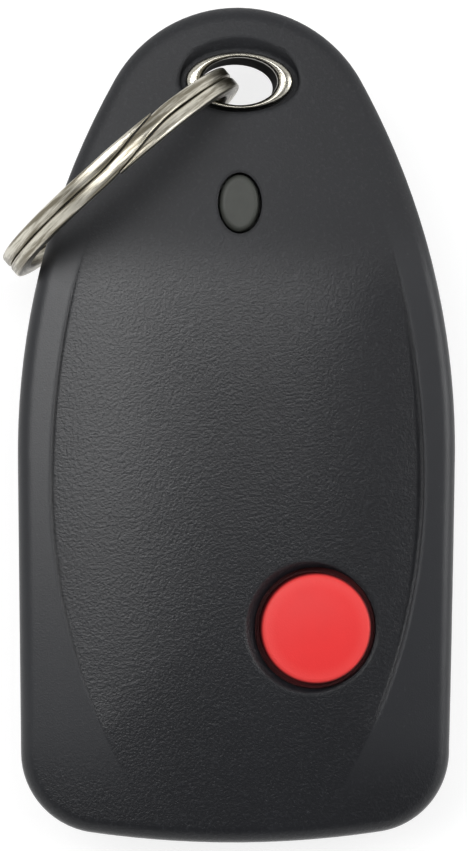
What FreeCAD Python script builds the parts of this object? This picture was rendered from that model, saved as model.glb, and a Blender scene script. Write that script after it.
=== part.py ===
# Key fob transmitter: a two-part moulded case with one round button, a status
# light, a metal eyelet and a split ring, with the board, switch and coin cell
# that it holds inside.
#
# Frame: millimetres. +Z points out of the button face, +Y towards the eyelet.
# The origin is on the flat rear face, on the centre line, at the height where
# the case is widest.

import FreeCAD, Part
import math
import os
import re
import Sketcher

V = FreeCAD.Vector
doc = FreeCAD.newDocument("key_fob")
sizes = doc.addObject("Spreadsheet::Sheet", "sizes")

# Driving dimensions
SIZES = [
    # The outline of the case, seen from the button side
    ("half_width", 17.08, "half the width at the widest place"),
    ("nose_radius", 11.0, "round end with the eyelet"),
    ("nose_y", 23.5, "centre of the round end"),
    ("tail_half_width", 16.75, "half the width just above the tail corners"),
    ("tail_length", 30.5, "from the widest place to the tail"),
    ("corner_radius", 6.25, "tail corners"),
    ("tail_radius", 88.0, "slight bow of the tail end"),
    # Its faces
    ("case_top", 14.0, "highest point of the button face"),
    ("crown_y", -4.0, "where the button face is highest"),
    ("crown_long_radius", 330.0, "bow of the button face along the case"),
    ("flank_cross_radius", 66.0, "bow of the flanks across the case"),
    ("panel_drop", 0.08, "middle of the panel under the flanks' own bow"),
    ("panel_long_radius", 900.0, "bow of the panel along the case"),
    ("panel_cross_radius", 52.0, "bow of the panel across the case"),
    ("panel_half_width", 14.5, "half the panel's width at its widest"),
    ("panel_y", -2.5, "where the panel is widest"),
    ("panel_upper_radius", 66.0, "panel edge towards the eyelet"),
    ("panel_lower_radius", 47.0, "panel edge towards the tail"),
    ("ramp_start", 4.5, "where the rear face leaves the flat"),
    ("ramp_end", 15.5, "where the rear step is reached"),
    ("shelf_z", 4.2, "height of the rear face under the eyelet"),
    ("back_round", 2.4, "rounding of the rear edge"),
    ("front_round", 1.3, "rounding of the front edge"),
    # Walls and the joint between the two covers
    ("wall", 1.6, "front and rear walls"),
    ("side_wall", 1.7, "walls round the case"),
    ("parting_z", 8.0, "where the two covers meet"),
    ("tongue_height", 0.9, "tongue of the rear cover"),
    ("tongue_width", 0.7, "its thickness"),
    ("tongue_gap", 0.1, "clearance round the tongue"),
    # The eyelet
    ("eyelet_y", 28.62, "centre of the eyelet"),
    ("hole_half_length", 2.96, "hole for the ring, across the case"),
    ("hole_half_width", 1.85, "hole for the ring, along the case"),
    ("tube_wall", 0.3, "sheet of the liner"),
    ("rim_half_length", 4.18, "rolled rim, across the case"),
    ("rim_half_width", 2.25, "rolled rim, along the case"),
    ("rim_height", 0.75, "height of the rolled rim"),
    ("rim_round", 0.18, "rounding of the rolled rim"),
    ("tube_foot_z", 6.4, "lower end of the liner"),
    ("liner_gap", 0.05, "clearance round the liner"),
    ("collar_wall", 1.2, "plastic round the liner"),
    ("flare", 0.9, "widening of the rear mouth"),
    ("dish_floor_z", 11.5, "floor of the dish that the rim sits in"),
    ("dish_margin", 0.3, "dish floor round the rim"),
    ("dish_rise", 1.3, "height that the dish walls are drawn over"),
    ("dish_half_length", 5.9, "dish mouth, across the case"),
    ("dish_half_width", 5.8, "dish mouth, along the case"),
    ("dish_shift", 1.0, "dish mouth moved towards the button"),
    # Status light
    ("light_y", 19.1, "centre of the lens"),
    ("lens_half_length", 2.21, "lens, along the case"),
    ("lens_half_width", 1.55, "lens, across the case"),
    ("lens_gap", 0.17, "clearance round the lens"),
    ("lens_sink", 0.12, "lens under the face"),
    ("lens_flange", 0.7, "flange that holds the lens from inside"),
    ("lens_edge", 0.4, "rounding of the lens"),
    ("led_radius", 1.5, "lamp under the lens"),
    ("led_height", 3.1, "height of the lamp"),
    ("led_base", 0.8, "collar at the foot of the lamp"),
    ("led_collar", 0.25, "reach of that collar"),
    # The button and its switch
    ("button_x", 6.0, "button to the right of the centre line"),
    ("button_y", -13.77, "button towards the tail"),
    ("cap_radius", 4.3, "visible part of the button"),
    ("cap_gap", 0.42, "gap round the button"),
    ("cap_rise", 0.45, "middle of the button over the face"),
    ("cap_dome", 0.35, "height of its dome"),
    ("cap_edge", 0.45, "rounding of its edge"),
    ("bevel", 0.45, "bevel round the button's hole"),
    ("flange_radius", 5.7, "flange that keeps the button in"),
    ("flange_height", 0.6, "thickness of the flange"),
    ("flange_gap", 0.2, "clearance round the flange"),
    ("flange_wall", 0.9, "plastic round the flange"),
    ("button_play", 0.05, "play above the flange and under the cap"),
    ("switch_size", 6.0, "side of the square switch"),
    ("switch_height", 3.4, "body of the switch with its cover"),
    ("switch_cover_sheet", 0.3, "sheet of the switch cover"),
    ("plunger_radius", 1.75, "plunger of the switch"),
    ("plunger_rise", 0.8, "plunger above the switch cover"),
    ("plunger_gap", 0.1, "clearance round the plunger"),
    ("switch_well", 0.5, "well of the switch round the plunger"),
    ("switch_floor", 0.8, "floor of the switch"),
    ("dome_height", 0.45, "rise of the snap dome"),
    ("dome_sheet", 0.12, "sheet of the snap dome"),
    ("press_travel", 0.3, "travel of the button"),
    # Board
    ("board_z", 6.0, "lower face of the board"),
    ("board_thickness", 1.2, "thickness of the board"),
    ("board_gap", 0.5, "clearance from the board to the walls"),
    ("board_end_y", 22.6, "straight end of the board"),
    # Coin cell and its holder
    ("cell_radius", 10.0, "coin cell"),
    ("cell_height", 3.2, "coin cell"),
    ("cell_y", -4.5, "centre of the coin cell"),
    ("cell_drop", 0.8, "from the board down to the cell"),
    ("cell_lip", 0.3, "crimped edge of the cell"),
    ("holder_wall", 1.1, "wall of the holder"),
    ("holder_gap", 0.1, "clearance round the cell"),
    ("holder_depth", 3.0, "height of the holder"),
    ("contact_sheet", 0.3, "sheet of the contacts"),
    ("contact_width", 5.0, "width of the contacts"),
    # Screws
    ("screw_low_x", 11.2, "tail screws"),
    ("screw_low_gap", 7.2, "tail screws, from the end of the case"),
    ("screw_high_x", 8.9, "eyelet end screws"),
    ("screw_high_y", 19.0, "eyelet end screws"),
    ("screw_radius", 1.1, "thread of the screws"),
    ("screw_length", 5.5, "length under the head"),
    ("screw_head_radius", 2.0, "head of the screws"),
    ("screw_head_height", 1.0, "head of the screws"),
    ("screw_seat_low_z", 4.2, "seat of the tail screws"),
    ("screw_seat_high_z", 5.25, "seat of the eyelet end screws"),
    ("screw_edge", 0.35, "rounding of the head and point of the screws"),
    ("screw_gap", 0.15, "clearance round screw and head"),
    ("recess_length", 2.2, "cross recess of the screws"),
    ("recess_width", 0.5, "cross recess of the screws"),
    ("recess_depth", 0.6, "cross recess of the screws"),
    ("pilot_radius", 1.1, "hole that the thread cuts into"),
    ("boss_wall", 1.2, "plastic round the thread"),
    # Split ring
    ("ring_radius", 11.4, "outside of the split ring"),
    ("ring_wire", 1.4, "its wire, measured from the middle outwards"),
    ("ring_turn", 0.95, "its wire, measured along the ring's axis"),
    ("ring_slit", 0.07, "slit between the two turns"),
    ("ring_x", -1.0, "where the wire stands in the eyelet"),
    ("ring_z", 9.75, "height of the ring's middle"),
    ("ring_heading", 220.8, "way from the eyelet to the ring's middle, degrees"),
    ("ring_lean", 3.0, "lean of the ring from upright, degrees"),
    ("ring_bevel", 0.16, "bevel of the wire's corners"),
    ("ring_jog", 42.0, "stretch where the wire changes turns, degrees"),
    ("ring_ends", 82.0, "middle of that stretch round the ring from the eyelet, degrees"),
    ("ring_lap", 3.0, "each end of the wire beyond that middle, degrees"),
    # Parts on the board
    ("chip_length", 4.9, "encoder chip"),
    ("chip_width", 3.9, "encoder chip"),
    ("chip_height", 1.5, "encoder chip"),
    ("chip_x", -8.0, "encoder chip"),
    ("chip_y", -14.5, "encoder chip"),
    ("lead_pitch", 1.27, "leads of the encoder chip"),
    ("lead_width", 0.4, "leads of the encoder chip"),
    ("lead_reach", 1.05, "leads beyond the part"),
    ("lead_root", 0.7, "height where the leads come out"),
    ("lead_sheet", 0.2, "sheet of the leads"),
    ("chip_stand_off", 0.1, "encoder chip above the board"),
    ("chip_bevel", 0.25, "sloped upper edges of the encoder chip"),
    ("can_flange", 0.4, "flange at the foot of the metal can"),
    ("resonator_radius", 4.1, "metal can of the resonator"),
    ("resonator_height", 3.0, "metal can of the resonator"),
    ("resonator_x", -6.8, "metal can of the resonator"),
    ("resonator_y", -1.5, "metal can of the resonator"),
    ("trimmer_radius", 2.6, "tuning trimmer"),
    ("trimmer_height", 1.9, "tuning trimmer"),
    ("trimmer_x", 7.2, "tuning trimmer"),
    ("trimmer_y", 5.0, "tuning trimmer"),
    ("transistor_x", 0.6, "transmitter transistor"),
    ("transistor_y", 7.0, "transmitter transistor"),
    ("transistor_length", 2.9, "transmitter transistor"),
    ("transistor_width", 1.4, "transmitter transistor"),
    ("transistor_height", 1.0, "transmitter transistor"),
    ("capacitor_x", -7.0, "supply capacitor"),
    ("capacitor_y", 8.5, "supply capacitor"),
    ("capacitor_length", 3.5, "supply capacitor"),
    ("capacitor_width", 2.8, "supply capacitor"),
    ("capacitor_height", 1.9, "supply capacitor"),
    ("component_length", 2.0, "resistors and small capacitors"),
    ("component_width", 1.25, "resistors and small capacitors"),
    ("component_height", 0.6, "resistors and small capacitors"),
    ("component_pitch", 2.6, "from one small part to the next"),
    ("component_row_y", 12.5, "row of small parts near the lamp"),
    ("component_tail_gap", 11.0, "small parts near the tail, from the end of the case"),
]


def fill_sheet():
    """Write each driving dimension, its name and its note in a row of the sheet."""
    for row, (name, number, note) in enumerate(SIZES, start=1):
        sizes.set(f"A{row}", name)
        sizes.set(f"B{row}", str(number))
        sizes.set(f"C{row}", note)
        sizes.setAlias(f"B{row}", name)
    doc.recompute()


def formula(text):
    """Turn a sum of size names into an expression that reads the sheet."""
    return re.sub(r"\b([a-z]\w*)\b(?!\()", r"sizes.\1", str(text))


def value(text):
    """Give the present number of a sum of size names."""
    return float(sizes.evalExpression(formula(text)))


def bind(thing, prop, text):
    """Tie one property to the sheet."""
    thing.setExpression(prop, formula(text))


def place(thing, x="0", y="0", z="0"):
    """Tie an object's place to the sheet."""
    for axis, text in (("x", x), ("y", y), ("z", z)):
        bind(thing, f"Placement.Base.{axis}", text)
    return thing


fill_sheet()

# Sketches


def dimension(sketch, kind, items, text):
    """Add a dimension to a sketch and tie it to the sheet."""
    number = value(text)
    index = sketch.addConstraint(Sketcher.Constraint(kind, *items, number))
    sketch.setExpression(f"Constraints[{index}]", formula(text))


def draw_profile(sketch, points):
    """Draw a closed profile through points, each given as two sums of size names.

    A point with a third item starts an arc, bowed up, whose centre is on the upright
    axis. The item is its radius, or "dome" where the two ends settle it.
    """
    spots = [V(value(p[0]), value(p[1]), 0) for p in points]
    count = len(points)
    for i, point in enumerate(points):
        here, there = spots[i], spots[(i + 1) % count]
        if len(point) > 2:
            if point[2] == "dome":
                # The centre on the axis is as far from one end as from the other
                height = (there.x**2 + there.y**2 - here.x**2 - here.y**2) / (2 * (there.y - here.y))
            else:
                height = here.y - math.sqrt(value(point[2])**2 - here.x**2)
            centre = V(0, height, 0)
            starts = math.atan2(here.y - height, here.x)
            ends = math.atan2(there.y - height, there.x)
            turn = (ends - starts) % (2 * math.pi)
            circle = Part.Circle(centre, V(0, 0, 1), (here - centre).Length)
            if turn < math.pi:
                sketch.addGeometry(Part.ArcOfCircle(circle, starts, starts + turn), False)
            else:
                sketch.addGeometry(Part.ArcOfCircle(circle, ends, ends + 2 * math.pi - turn), False)
        else:
            sketch.addGeometry(Part.LineSegment(here, there), False)

    def end_of(i, spot):
        """Say which end of curve i lies on a spot."""
        return 1 if sketch.getPoint(i, 1).distanceToPoint(spot) < 1e-6 else 2

    for i in range(count):
        corner = spots[(i + 1) % count]
        following = (i + 1) % count
        ends = (i, end_of(i, corner), following, end_of(following, corner))
        sketch.addConstraint(Sketcher.Constraint("Coincident", *ends))
    for i, point in enumerate(points):
        end = (i, end_of(i, spots[i]))
        for axis, kind, text in ((-2, "DistanceX", point[0]), (-1, "DistanceY", point[1])):
            if str(text) == "0":
                sketch.addConstraint(Sketcher.Constraint("PointOnObject", *end, axis))
            else:
                dimension(sketch, kind, (-1, 1, *end), text)
        if len(point) > 2 and point[2] == "dome":
            sketch.addConstraint(Sketcher.Constraint("PointOnObject", i, 3, -2))
        elif len(point) > 2:
            dimension(sketch, "Radius", (i,), point[2])
    return sketch


ON_PLAN = FreeCAD.Rotation()
ON_FRONT = FreeCAD.Rotation(V(1, 0, 0), 90)
ON_SIDE = FreeCAD.Rotation(V(1, 1, 1), 120)


def free_sketch(name, turn=ON_PLAN):
    """Make a sketch that stands by itself."""
    sketch = doc.addObject("Sketcher::SketchObject", name)
    sketch.Placement = FreeCAD.Placement(V(0, 0, 0), turn)
    return sketch


def body_sketch(body, name, role, points):
    """Draw a profile on one of a body's own planes."""
    sketch = body.newObject("Sketcher::SketchObject", name)
    plane = [item for item in body.Origin.OriginFeatures if item.Role == role][0]
    sketch.AttachmentSupport = [(plane, "")]
    sketch.MapMode = "FlatFace"
    doc.recompute()
    return draw_profile(sketch, points)


def new_body(name, x="0", y="0", z="0"):
    """Start a body at its place."""
    body = doc.addObject("PartDesign::Body", name)
    body.Label = name
    return place(body, x, y, z)


def turned_body(name, points, x="0", y="0", z="0"):
    """Turn a half profile, radius and height, about its upright axis."""
    body = new_body(name, x, y, z)
    sketch = body_sketch(body, name + "_profile", "XZ_Plane", points)
    turn = body.newObject("PartDesign::Revolution", name + "_turn")
    turn.Profile = sketch
    turn.ReferenceAxis = (sketch, ["V_Axis"])
    turn.Angle = 360
    return body


def padded_body(name, points, height, x="0", y="0", z="0"):
    """Pad a plan profile upwards."""
    body = new_body(name, x, y, z)
    sketch = body_sketch(body, name + "_plan", "XY_Plane", points)
    pad = body.newObject("PartDesign::Pad", name + "_pad")
    pad.Profile = sketch
    bind(pad, "Length", height)
    return body


def rectangle(length, width):
    """Give the corners of a rectangle about the origin."""
    x, y = f"({length}) / 2", f"({width}) / 2"
    return [(f"-{x}", f"-{y}"), (x, f"-{y}"), (x, y), (f"-{x}", y)]


# Solids that shape others


def prism(name, base, height, z="0", direction=V(0, 0, 1), both_ways=False):
    """Extrude a closed sketch or curve."""
    solid = doc.addObject("Part::Extrusion", name)
    solid.Base = base
    solid.DirMode = "Custom"
    solid.Dir = direction
    solid.Solid = True
    solid.Symmetric = both_ways
    bind(solid, "LengthFwd", height)
    bind(solid, "Placement.Base.z", z)
    return solid


def oval(name, half_length, half_width, along_y=False, y="0", z="0"):
    """Draw an ellipse, long across the case or along it."""
    curve = doc.addObject("Part::Ellipse", name)
    bind(curve, "MajorRadius", half_length)
    bind(curve, "MinorRadius", half_width)
    if along_y:
        curve.Placement.Rotation = FreeCAD.Rotation(V(0, 0, 1), 90)
    return place(curve, "0", y, z)


def cylinder(name, radius, height, x="0", y="0", z="0"):
    """Make an upright cylinder."""
    solid = doc.addObject("Part::Cylinder", name)
    bind(solid, "Radius", radius)
    bind(solid, "Height", height)
    return place(solid, x, y, z)


def block(name, length, width, height, x="0", y="0", z="0"):
    """Make a box, centred in plan, that stands on z."""
    solid = doc.addObject("Part::Box", name)
    bind(solid, "Length", length)
    bind(solid, "Width", width)
    bind(solid, "Height", height)
    return place(solid, f"{x} - ({length}) / 2", f"{y} - ({width}) / 2", z)


def join(name, parts):
    """Fuse several solids."""
    solid = doc.addObject("Part::MultiFuse", name)
    solid.Shapes = parts
    return solid


def overlap(name, parts):
    """Keep what several solids share."""
    solid = doc.addObject("Part::MultiCommon", name)
    solid.Shapes = parts
    return solid


def cut(name, base, tool):
    """Take one solid out of another."""
    solid = doc.addObject("Part::Cut", name)
    solid.Base = base
    solid.Tool = tool
    return solid


def rounded(name, base, radius, chosen):
    """Round the edges of a solid for which chosen(edge) is true."""
    doc.recompute()
    solid = doc.addObject("Part::Fillet", name)
    solid.Base = base
    size = value(radius)
    edges = base.Shape.Edges
    solid.Edges = [(i, size, size) for i, edge in enumerate(edges, start=1) if chosen(edge)]
    return solid


def middle(edge):
    """Give the point halfway along an edge."""
    return edge.valueAt((edge.FirstParameter + edge.LastParameter) / 2)


def draw_outline():
    """Draw the outline of the case: round nose, bowed flanks, straight sides, tail."""
    sketch = free_sketch("case_outline")
    nose = V(0, value("nose_y"), 0)
    nose_r = value("nose_radius")
    half, tail_half = value("half_width"), value("tail_half_width")
    corner_r, tail_r = value("corner_radius"), value("tail_radius")
    flank_sum = "(half_width^2 + nose_y^2 - nose_radius^2) / (2 * (half_width - nose_radius))"
    flank_r = value(flank_sum)
    flank_x = half - flank_r
    tail = V(0, tail_r - value("tail_length"), 0)
    corner_x = tail_half - corner_r
    corner_y = tail.y - math.sqrt((tail_r - corner_r)**2 - corner_x**2)
    # Directions, from the arcs' centres, of the places where they meet
    at_nose = math.atan2(nose.y, -flank_x)
    run = math.hypot(corner_x - flank_x, corner_y)
    at_side = math.atan2(corner_y, corner_x - flank_x) + math.acos((flank_r - corner_r) / run)
    at_tail = math.atan2(corner_y - tail.y, corner_x)

    def arc(x, y, radius, begin, end):
        return Part.ArcOfCircle(Part.Circle(V(x, y, 0), V(0, 0, 1), radius), begin, end)

    def on(x, y, radius, angle):
        return V(x + radius * math.cos(angle), y + radius * math.sin(angle), 0)

    half_turn = math.pi
    left_side = half_turn - at_side
    curves = [
        arc(0, nose.y, nose_r, at_nose, half_turn - at_nose),
        arc(-flank_x, 0, flank_r, half_turn - at_nose, left_side),
        Part.LineSegment(on(-flank_x, 0, flank_r, left_side),
                         on(-corner_x, corner_y, corner_r, left_side)),
        arc(-corner_x, corner_y, corner_r, left_side, half_turn - at_tail),
        arc(0, tail.y, tail_r, -half_turn - at_tail, at_tail),
        arc(corner_x, corner_y, corner_r, at_tail, at_side),
        Part.LineSegment(on(corner_x, corner_y, corner_r, at_side), on(flank_x, 0, flank_r, at_side)),
        arc(flank_x, 0, flank_r, at_side, at_nose),
    ]
    for curve in curves:
        sketch.addGeometry(curve, False)
    for i in range(len(curves)):
        sketch.addConstraint(Sketcher.Constraint("Tangent", i, 2, (i + 1) % len(curves), 1))
    for curve, axis in ((0, -2), (4, -2), (1, -1), (7, -1)):
        sketch.addConstraint(Sketcher.Constraint("PointOnObject", curve, 3, axis))
    dimension(sketch, "Radius", (0,), "nose_radius")
    dimension(sketch, "DistanceY", (-1, 1, 0, 3), "nose_y")
    dimension(sketch, "Radius", (4,), "tail_radius")
    dimension(sketch, "DistanceY", (-1, 1, 4, 3), "tail_radius - tail_length")
    dimension(sketch, "Radius", (7,), flank_sum)
    dimension(sketch, "Radius", (1,), flank_sum)
    dimension(sketch, "Radius", (5,), "corner_radius")
    dimension(sketch, "Radius", (3,), "corner_radius")
    dimension(sketch, "DistanceX", (-1, 1, 5, 3), "tail_half_width - corner_radius")
    dimension(sketch, "DistanceX", (3, 3, -1, 1), "tail_half_width - corner_radius")
    return sketch


def inset(name, outline, distance):
    """Draw the outline again, moved inwards."""
    curve = doc.addObject("Part::Offset2D", name)
    curve.Source = outline
    bind(curve, "Value", f"-({distance})")
    return curve


def crown(name, top, cross_radius, long_radius):
    """Make a wide solid whose upper face is bowed both ways."""
    reach = "2 * half_width"
    fall = f"{cross_radius} - sqrt({cross_radius}^2 - ({reach})^2)"
    shoulder = f"{top} - ({fall})"
    floor = "-case_top"
    sketch = free_sketch(name + "_profile", ON_FRONT)
    bind(sketch, "Placement.Base.y", "crown_y")
    draw_profile(sketch, [
        (f"-{reach}", floor), (reach, floor), (reach, shoulder, cross_radius), (f"-{reach}", shoulder)])
    solid = doc.addObject("Part::Revolution", name)
    solid.Source = sketch
    solid.Axis = V(1, 0, 0)
    bind(solid, "Base.y", "crown_y")
    bind(solid, "Base.z", f"{top} - {long_radius}")
    bind(solid, "Angle", f"4 * tail_length / {long_radius} * 180 / 3.14159265")
    solid.Symmetric = True
    solid.Solid = True
    return solid


def back_form(name, lift):
    """Make the space above the rear face: flat, then a ramp up to the step at the eyelet."""
    sketch = free_sketch(name + "_profile", ON_SIDE)
    start, end = value("ramp_start"), value("ramp_end")
    low, high = value(lift), value(f"shelf_z + {lift}")
    far, roof = value("2 * tail_length"), value("2 * case_top")
    run, rise = end - start, high - low
    bend = (run**2 + rise**2) / (4 * rise)
    lean = math.asin(run / 2 / bend)
    quarter = math.pi / 2
    lower = Part.Circle(V(start, low + bend, 0), V(0, 0, 1), bend)
    upper = Part.Circle(V(end, high - bend, 0), V(0, 0, 1), bend)
    curves = [
        Part.LineSegment(V(-far, low, 0), V(start, low, 0)),
        Part.ArcOfCircle(lower, -quarter, lean - quarter),
        Part.ArcOfCircle(upper, quarter, quarter + lean),
        Part.LineSegment(V(end, high, 0), V(far, high, 0)),
        Part.LineSegment(V(far, high, 0), V(far, roof, 0)),
        Part.LineSegment(V(far, roof, 0), V(-far, roof, 0)),
        Part.LineSegment(V(-far, roof, 0), V(-far, low, 0)),
    ]
    for curve in curves:
        sketch.addGeometry(curve, False)
    rule = Sketcher.Constraint
    for one, end_one, other, end_other in ((0, 2, 1, 1), (1, 2, 2, 2), (2, 1, 3, 1)):
        sketch.addConstraint(rule("Tangent", one, end_one, other, end_other))
    for one in (3, 4, 5):
        sketch.addConstraint(rule("Coincident", one, 2, one + 1, 1))
    sketch.addConstraint(rule("Coincident", 6, 2, 0, 1))
    for flat in (0, 3, 5):
        sketch.addConstraint(rule("Horizontal", flat))
    for upright in (4, 6):
        sketch.addConstraint(rule("Vertical", upright))
    sketch.addConstraint(rule("Equal", 1, 2))
    dimension(sketch, "DistanceX", (-1, 1, 0, 2), "ramp_start")
    dimension(sketch, "DistanceX", (-1, 1, 3, 1), "ramp_end")
    if str(lift) == "0":
        sketch.addConstraint(rule("PointOnObject", 0, 2, -1))
    else:
        dimension(sketch, "DistanceY", (-1, 1, 0, 2), lift)
    dimension(sketch, "DistanceY", (-1, 1, 3, 1), f"shelf_z + {lift}")
    dimension(sketch, "DistanceX", (-1, 1, 3, 2), "2 * tail_length")
    dimension(sketch, "DistanceX", (0, 1, -1, 1), "2 * tail_length")
    dimension(sketch, "DistanceY", (-1, 1, 4, 2), "2 * case_top")
    return prism(name, sketch, "4 * half_width", direction=V(1, 0, 0), both_ways=True)


def panel_plan():
    """Draw the panel between its two bowed edges, each an upper and a lower arc."""
    sketch = free_sketch("panel_plan")
    half, y = value("panel_half_width"), value("panel_y")
    upper_r, lower_r = value("panel_upper_radius"), value("panel_lower_radius")
    high, low = value("1.2 * tail_length"), value("0.95 * tail_length")
    up, down = math.asin((high - y) / upper_r), math.asin((low + y) / lower_r)
    z = V(0, 0, 1)
    half_turn = math.pi
    curves = [
        Part.ArcOfCircle(Part.Circle(V(half - upper_r, y, 0), z, upper_r), 0, up),
        Part.ArcOfCircle(Part.Circle(V(upper_r - half, y, 0), z, upper_r), half_turn - up, half_turn),
        Part.ArcOfCircle(Part.Circle(V(lower_r - half, y, 0), z, lower_r), half_turn, half_turn + down),
        Part.ArcOfCircle(Part.Circle(V(half - lower_r, y, 0), z, lower_r), -down, 0),
    ]
    curves.append(Part.LineSegment(curves[0].EndPoint, curves[1].StartPoint))
    curves.append(Part.LineSegment(curves[2].EndPoint, curves[3].StartPoint))
    for curve in curves:
        sketch.addGeometry(curve, False)
    rule = Sketcher.Constraint
    for one, end_one, other, end_other in ((0, 1, 3, 2), (1, 2, 2, 1)):
        sketch.addConstraint(rule("Tangent", one, end_one, other, end_other))
    for one, end_one, other, end_other in ((0, 2, 4, 1), (4, 2, 1, 1), (2, 2, 5, 1), (5, 2, 3, 1)):
        sketch.addConstraint(rule("Coincident", one, end_one, other, end_other))
    for curve, text in ((0, "panel_upper_radius"), (1, "panel_upper_radius"),
                        (2, "panel_lower_radius"), (3, "panel_lower_radius")):
        dimension(sketch, "Radius", (curve,), text)
    dimension(sketch, "DistanceX", (-1, 1, 0, 1), "panel_half_width")
    dimension(sketch, "DistanceX", (1, 2, -1, 1), "panel_half_width")
    for curve, end in ((0, 1), (1, 2), (0, 3), (1, 3)):
        dimension(sketch, "DistanceY", (-1, 1, curve, end), "panel_y")
    for curve, end in ((0, 2), (1, 1)):
        dimension(sketch, "DistanceY", (-1, 1, curve, end), "1.2 * tail_length")
    for curve, end in ((2, 2), (3, 1)):
        dimension(sketch, "DistanceY", (curve, end, -1, 1), "0.95 * tail_length")
    return sketch


# The case

outline = draw_outline()
core_outline = inset("core_outline", outline, "side_wall")
case_height = "case_top + wall"
case_prism = prism("case_prism", outline, case_height)
flank_crown = crown("flank_crown", "case_top", "flank_cross_radius", "crown_long_radius")
panel_crown = crown("panel_crown", "case_top - panel_drop", "panel_cross_radius", "panel_long_radius")
core_crown = crown("core_crown", "case_top - panel_drop - wall", "panel_cross_radius", "crown_long_radius")
case_back = back_form("case_back", "0")
core_back = back_form("core_back", "wall")

case_blank = overlap("case_blank", [case_prism, case_back, flank_crown])


def round_the_case(blank):
    """Round the rear edge and the front edge all round."""
    middle_z = value("parting_z")

    def around(edge):
        upright = abs(edge.valueAt(edge.FirstParameter).z - edge.valueAt(edge.LastParameter).z) > 2
        box = edge.BoundBox
        across = box.XLength > value("half_width") and box.YLength < 0.1
        return not across and not (upright and box.XLength < 0.2 and box.YLength < 0.2)

    back = rounded("case_back_edge", blank, "back_round", lambda e: around(e) and middle(e).z < middle_z)
    return rounded("case_form", back, "front_round",
                   lambda e: around(e) and middle(e).z > middle_z and e.BoundBox.ZLength < middle_z)


case_form = round_the_case(case_blank)

# The eyelet's oval bore and the plastic round it
tube_length = "hole_half_length + tube_wall"
tube_width = "hole_half_width + tube_wall"


def eyelet_oval(name, spread, z="0"):
    """Draw the liner's outside, widened by a spread."""
    return oval(name, f"{tube_length} + {spread}", f"{tube_width} + {spread}", y="eyelet_y", z=z)


collar = prism("eyelet_collar", eyelet_oval("collar_oval", "collar_wall + flare"), case_height)
bore = prism("eyelet_bore", eyelet_oval("bore_oval", "liner_gap"), case_height)


def loft(name, curves):
    """Join two ovals with straight walls."""
    solid = doc.addObject("Part::Loft", name)
    solid.Sections = curves
    solid.Solid = True
    solid.Ruled = True
    return solid


rear_mouth = loft("rear_mouth", [eyelet_oval("mouth_low", "flare", "shelf_z - 0.01 * wall"),
                                 eyelet_oval("mouth_high", "liner_gap", "tube_foot_z")])
dish = loft("eyelet_dish", [
    oval("dish_floor", "rim_half_length + dish_margin", "rim_half_width + dish_margin",
         y="eyelet_y", z="dish_floor_z"),
    oval("dish_mouth", "dish_half_length", "dish_half_width",
         y="eyelet_y - dish_shift", z="dish_floor_z + dish_rise")])

core_prism = prism("core_prism", core_outline, case_height)
core = cut("case_core", overlap("core_block", [core_prism, core_back, core_crown]), collar)

# The tongue of the rear cover and the rebate that it fits
tongue_root = "side_wall - tongue_width"
tongue = cut(
    "tongue",
    prism("tongue_outside", inset("tongue_outline", outline, tongue_root), "tongue_height", "parting_z"),
    prism("tongue_inside", core_outline, "tongue_height", "parting_z"))
rebate = prism("rebate", inset("rebate_outline", outline, f"{tongue_root} - tongue_gap"),
               "tongue_height + tongue_gap", "parting_z")

plate = "4 * tail_length"
upper_half = block("upper_half", plate, plate, case_height, z="parting_z")
lower_half = block("lower_half", plate, plate, "parting_z + wall", z="-wall")

# Bosses for the four screws
screw_low_y = "screw_low_gap - tail_length"
SCREWS = [("low_left", "-screw_low_x", screw_low_y, "screw_seat_low_z"),
          ("low_right", "screw_low_x", screw_low_y, "screw_seat_low_z"),
          ("high_left", "-screw_high_x", "screw_high_y", "screw_seat_high_z"),
          ("high_right", "screw_high_x", "screw_high_y", "screw_seat_high_z")]
board_top = "board_z + board_thickness"
front_bosses = [cylinder(f"front_boss_{name}", "pilot_radius + boss_wall", "case_top", x, y, board_top)
                for name, x, y, seat in SCREWS]
rear_bosses = [cylinder(f"rear_boss_{name}", "screw_head_radius + screw_gap + boss_wall", "board_z", x, y)
               for name, x, y, seat in SCREWS]
pilots = [cylinder(f"pilot_{name}", "pilot_radius", f"{seat} + screw_length - ({board_top}) + screw_gap",
                   x, y, board_top)
          for name, x, y, seat in SCREWS]
shank_holes = [cylinder(f"shank_hole_{name}", "screw_radius + screw_gap", "case_top", x, y)
               for name, x, y, seat in SCREWS]
head_holes = [cylinder(f"head_hole_{name}", "screw_head_radius + screw_gap", seat, x, y)
              for name, x, y, seat in SCREWS]

# Holes of the front cover
switch_top = f"{board_top} + switch_height"
flange_foot = "press_travel + button_play"
flange_top = f"{flange_foot} + flange_height"
button_hole = cylinder("button_hole", "cap_radius + cap_gap", "case_top", "button_x", "button_y", "parting_z")
button_collar = cylinder("button_collar", "flange_radius + flange_gap + flange_wall", "case_top",
                         "button_x", "button_y", f"{switch_top} + {flange_top}")
flange_pocket = cylinder("flange_pocket", "flange_radius + flange_gap",
                         f"{switch_top} + {flange_top} + button_play - parting_z",
                         "button_x", "button_y", "parting_z")
face_at_button = ("case_top - panel_drop - button_x^2 / (2 * panel_cross_radius)"
                  " - (button_y - crown_y)^2 / (2 * panel_long_radius)")
hole_bevel = doc.addObject("Part::Cone", "hole_bevel")
bind(hole_bevel, "Radius1", "cap_radius + cap_gap")
bind(hole_bevel, "Radius2", "cap_radius + cap_gap + 2 * bevel")
bind(hole_bevel, "Height", "2 * bevel")
place(hole_bevel, "button_x", "button_y", f"{face_at_button} - bevel")


def lens_oval(name, spread):
    """Draw the lens in plan, widened by a spread."""
    return oval(name, f"lens_half_length + {spread}", f"lens_half_width + {spread}", True, "light_y")


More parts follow.
